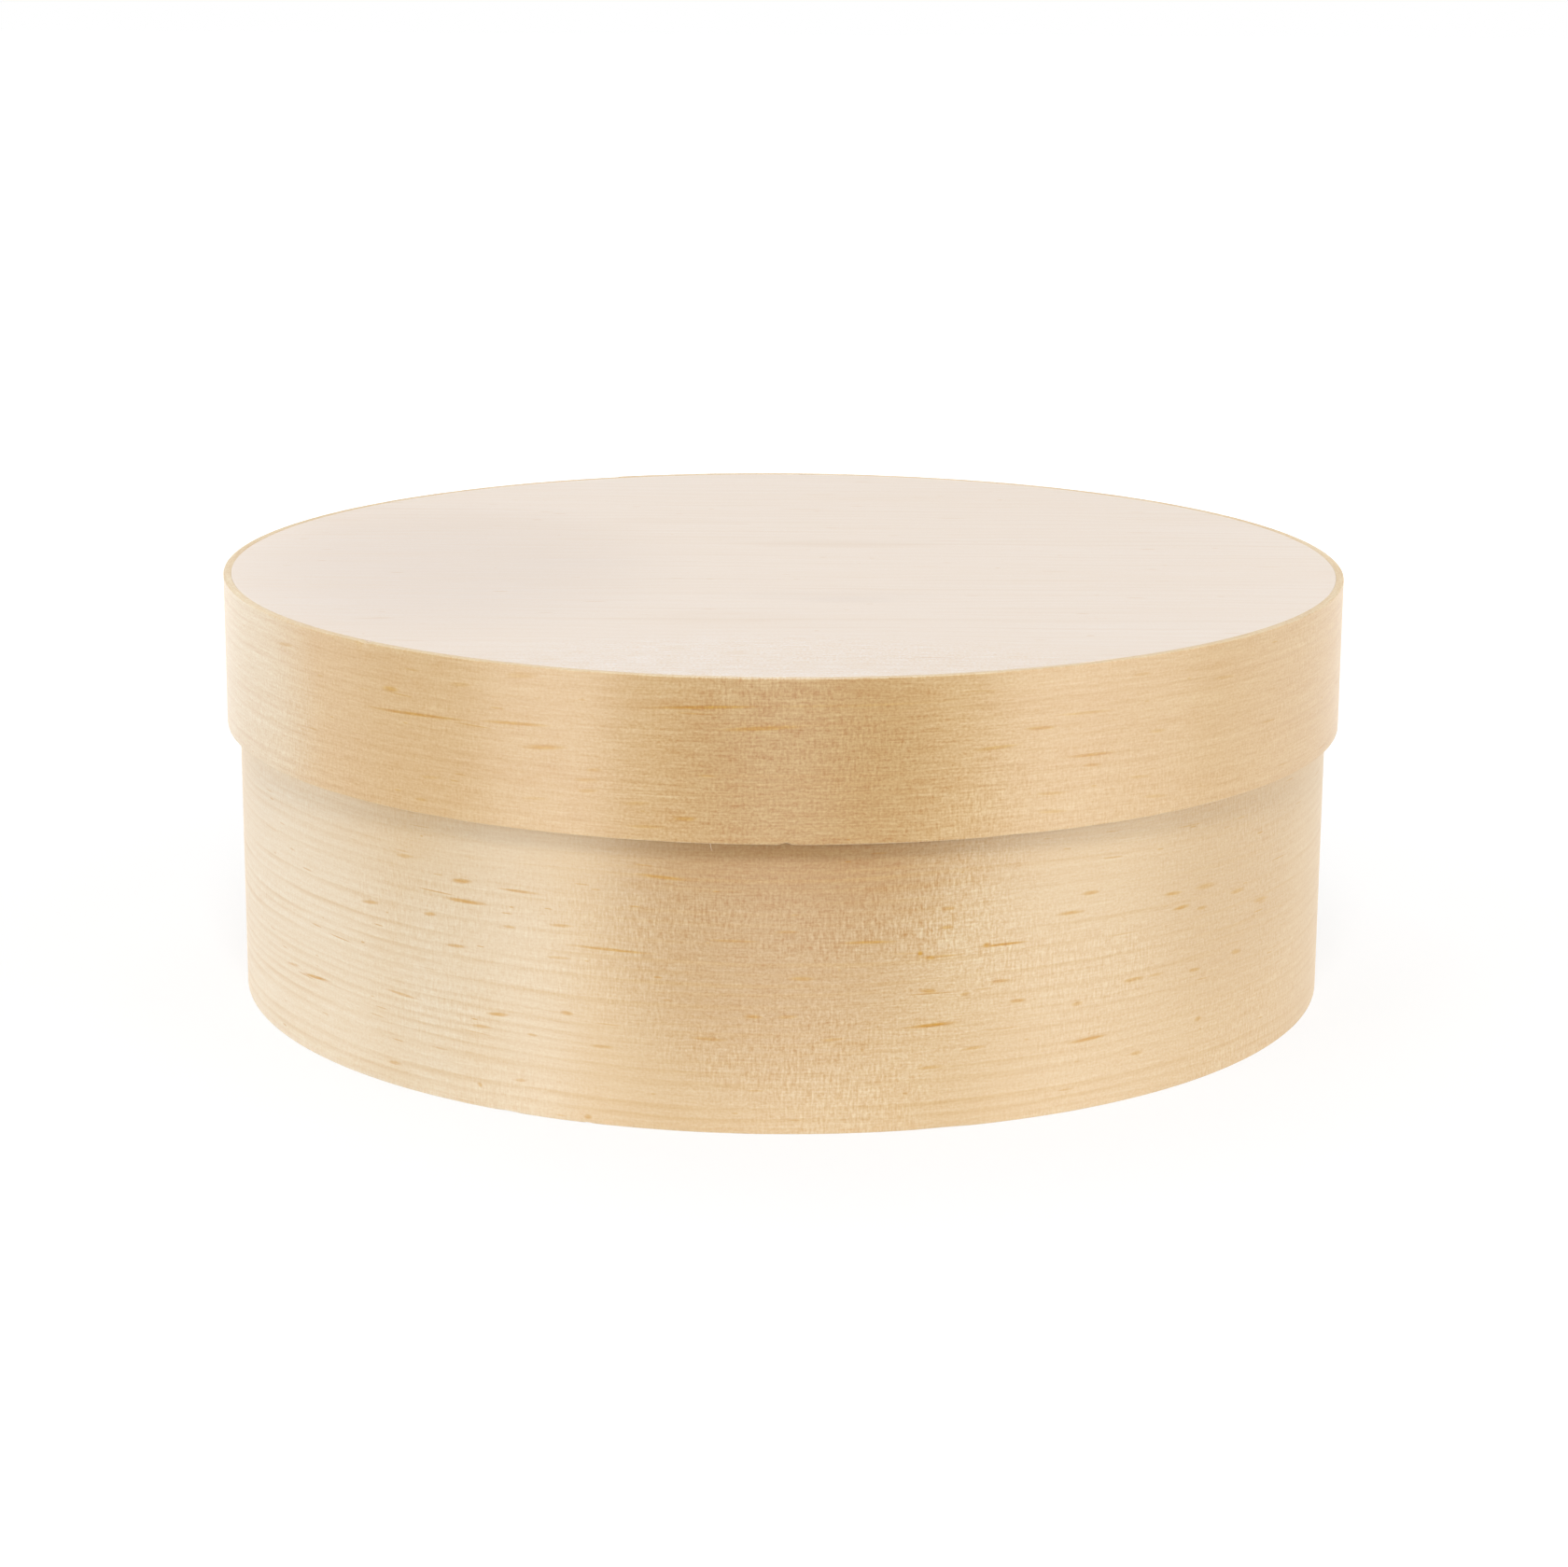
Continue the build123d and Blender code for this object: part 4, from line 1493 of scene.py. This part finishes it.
class CHEESEBOX_OT_studio(bpy.types.Operator):
    """Set up the floor, the soft light and the photograph's camera"""

    bl_idname = "cheese_box.studio"
    bl_label = "Studio"

    def execute(self, context):
        scene = context.scene
        studio = scene.cheese_box_studio
        self.lay_floor(studio)
        self.light_room(scene, studio)
        self.hang_softboxes(studio)
        self.stand_flag()
        self.place_camera(scene, studio)
        scene.view_settings.view_transform = "Standard"
        return {"FINISHED"}

    def lay_floor(self, studio):
        """A white floor."""
        half = studio.floor_size / 2
        corners = [(-half, -half, 0), (half, -half, 0), (half, half, 0), (-half, half, 0)]
        floor = flat_piece("studio_floor", corners, [(0, 1, 2, 3)], floor_material(studio))

    def light_room(self, scene, studio):
        """A white room that lights the box softly and shows white where it is seen or reflected."""
        world = bpy.data.worlds.new("white room")
        world.use_nodes = True
        scene.world = world
        draft = Draft(world.node_tree)
        strength = shown_rays(draft) * (1 - studio.surround) + studio.surround
        room = draft.add("ShaderNodeBackground", grey(1), strength)
        draft.add("ShaderNodeOutputWorld", room.outputs[0])

    def hang_softboxes(self, studio):
        """Softboxes around the box, which leave the middle of its front darker, and one above it."""
        distance, power = studio.light_distance, studio.light_power
        for box in SOFTBOXES:
            turn = math.radians((box.first + box.last) / 2)
            width = 2 * distance * math.tan(math.radians(box.last - box.first) / 2)
            low = distance * math.tan(math.radians(box.low))
            high = distance * math.tan(math.radians(box.high))
            away = Vector((math.sin(turn), -math.cos(turn), 0))
            place = away * distance + Vector((0, 0, (low + high) / 2))
            hang_light(box.name, width, high - low, place, away, box.strength * power)
        size = distance * OVERHEAD_SIZE_SHARE
        place = OVERHEAD_PLACE_SHARES * distance
        hang_light("overhead light", size, size, place, OVERHEAD_PLACE_SHARES, studio.overhead * power)

    def stand_flag(self):
        """A black cloth under and behind the camera, which it never shows and the wood's sheen reflects."""
        corners = [
            (FLAG_LEFT * FLAG_FRONT_SHARE, FLAG_FRONT, MM), (FLAG_RIGHT * FLAG_FRONT_SHARE, FLAG_FRONT, MM),
            (FLAG_RIGHT, FLAG_BACK, MM), (FLAG_LEFT, FLAG_BACK, MM),
            (FLAG_RIGHT, FLAG_BACK, FLAG_TOP), (FLAG_LEFT, FLAG_BACK, FLAG_TOP),
        ]
        flag = flat_piece("studio_flag", corners, [(0, 1, 2, 3), (3, 2, 4, 5)], cloth_material())
        flag.visible_camera = False

    def place_camera(self, scene, studio):
        """The camera at the photograph's own viewing angle."""
        place, right, up, forward = camera_axes(studio)
        data = bpy.data.cameras.new("photo camera")
        data.lens, data.sensor_width = studio.lens_mm, SENSOR_WIDTH_MM
        data.clip_start = CAMERA_CLIP_START
        camera = add_object("photo camera", data)
        axes = Matrix((right, up, -forward)).transposed().to_4x4()
        camera.matrix_world = Matrix.Translation(place) @ axes
        scene.camera = camera


class VIEW3D_PT_cheese_box(bpy.types.Panel):
    """Lists the box's sizes and colours and the buttons that build it"""

    bl_label = "Cheese box"
    bl_space_type = "VIEW_3D"
    bl_region_type = "UI"
    bl_category = "Cheese box"

    def draw(self, context):
        layout = self.layout
        for group in GROUPS:
            settings = getattr(context.scene, group)
            box = layout.box()
            for name in settings.bl_rna.properties.keys():
                if name not in ("rna_type", "name"):
                    box.prop(settings, name)
        for operator in OPERATORS:
            layout.operator(operator.bl_idname)


GROUPS = {
    "cheese_box_sizes": CheeseBoxSizes,
    "cheese_box_staples": StapleSizes,
    "cheese_box_colours": WoodColours,
    "cheese_box_studio": StudioSettings,
}
OPERATORS = (
    CHEESEBOX_OT_lid_band,
    CHEESEBOX_OT_body_wall,
    CHEESEBOX_OT_lid_disc,
    CHEESEBOX_OT_base_disc,
    CHEESEBOX_OT_staples,
    CHEESEBOX_OT_fibres,
    CHEESEBOX_OT_studio,
)


def register():
    for name, group in GROUPS.items():
        bpy.utils.register_class(group)
        setattr(bpy.types.Scene, name, PointerProperty(type=group))
    for made in (*OPERATORS, VIEW3D_PT_cheese_box):
        bpy.utils.register_class(made)


def unregister():
    for made in (VIEW3D_PT_cheese_box, *reversed(OPERATORS)):
        bpy.utils.unregister_class(made)
    for name, group in reversed(GROUPS.items()):
        delattr(bpy.types.Scene, name)
        bpy.utils.unregister_class(group)


def main():
    register()
    bpy.ops.cheese_box.lid_band()
    bpy.ops.cheese_box.body_wall()
    bpy.ops.cheese_box.lid_disc()
    bpy.ops.cheese_box.base_disc()
    bpy.ops.cheese_box.staples()
    bpy.ops.cheese_box.fibres()
    bpy.ops.cheese_box.studio()


if __name__ == "__main__":
    main()
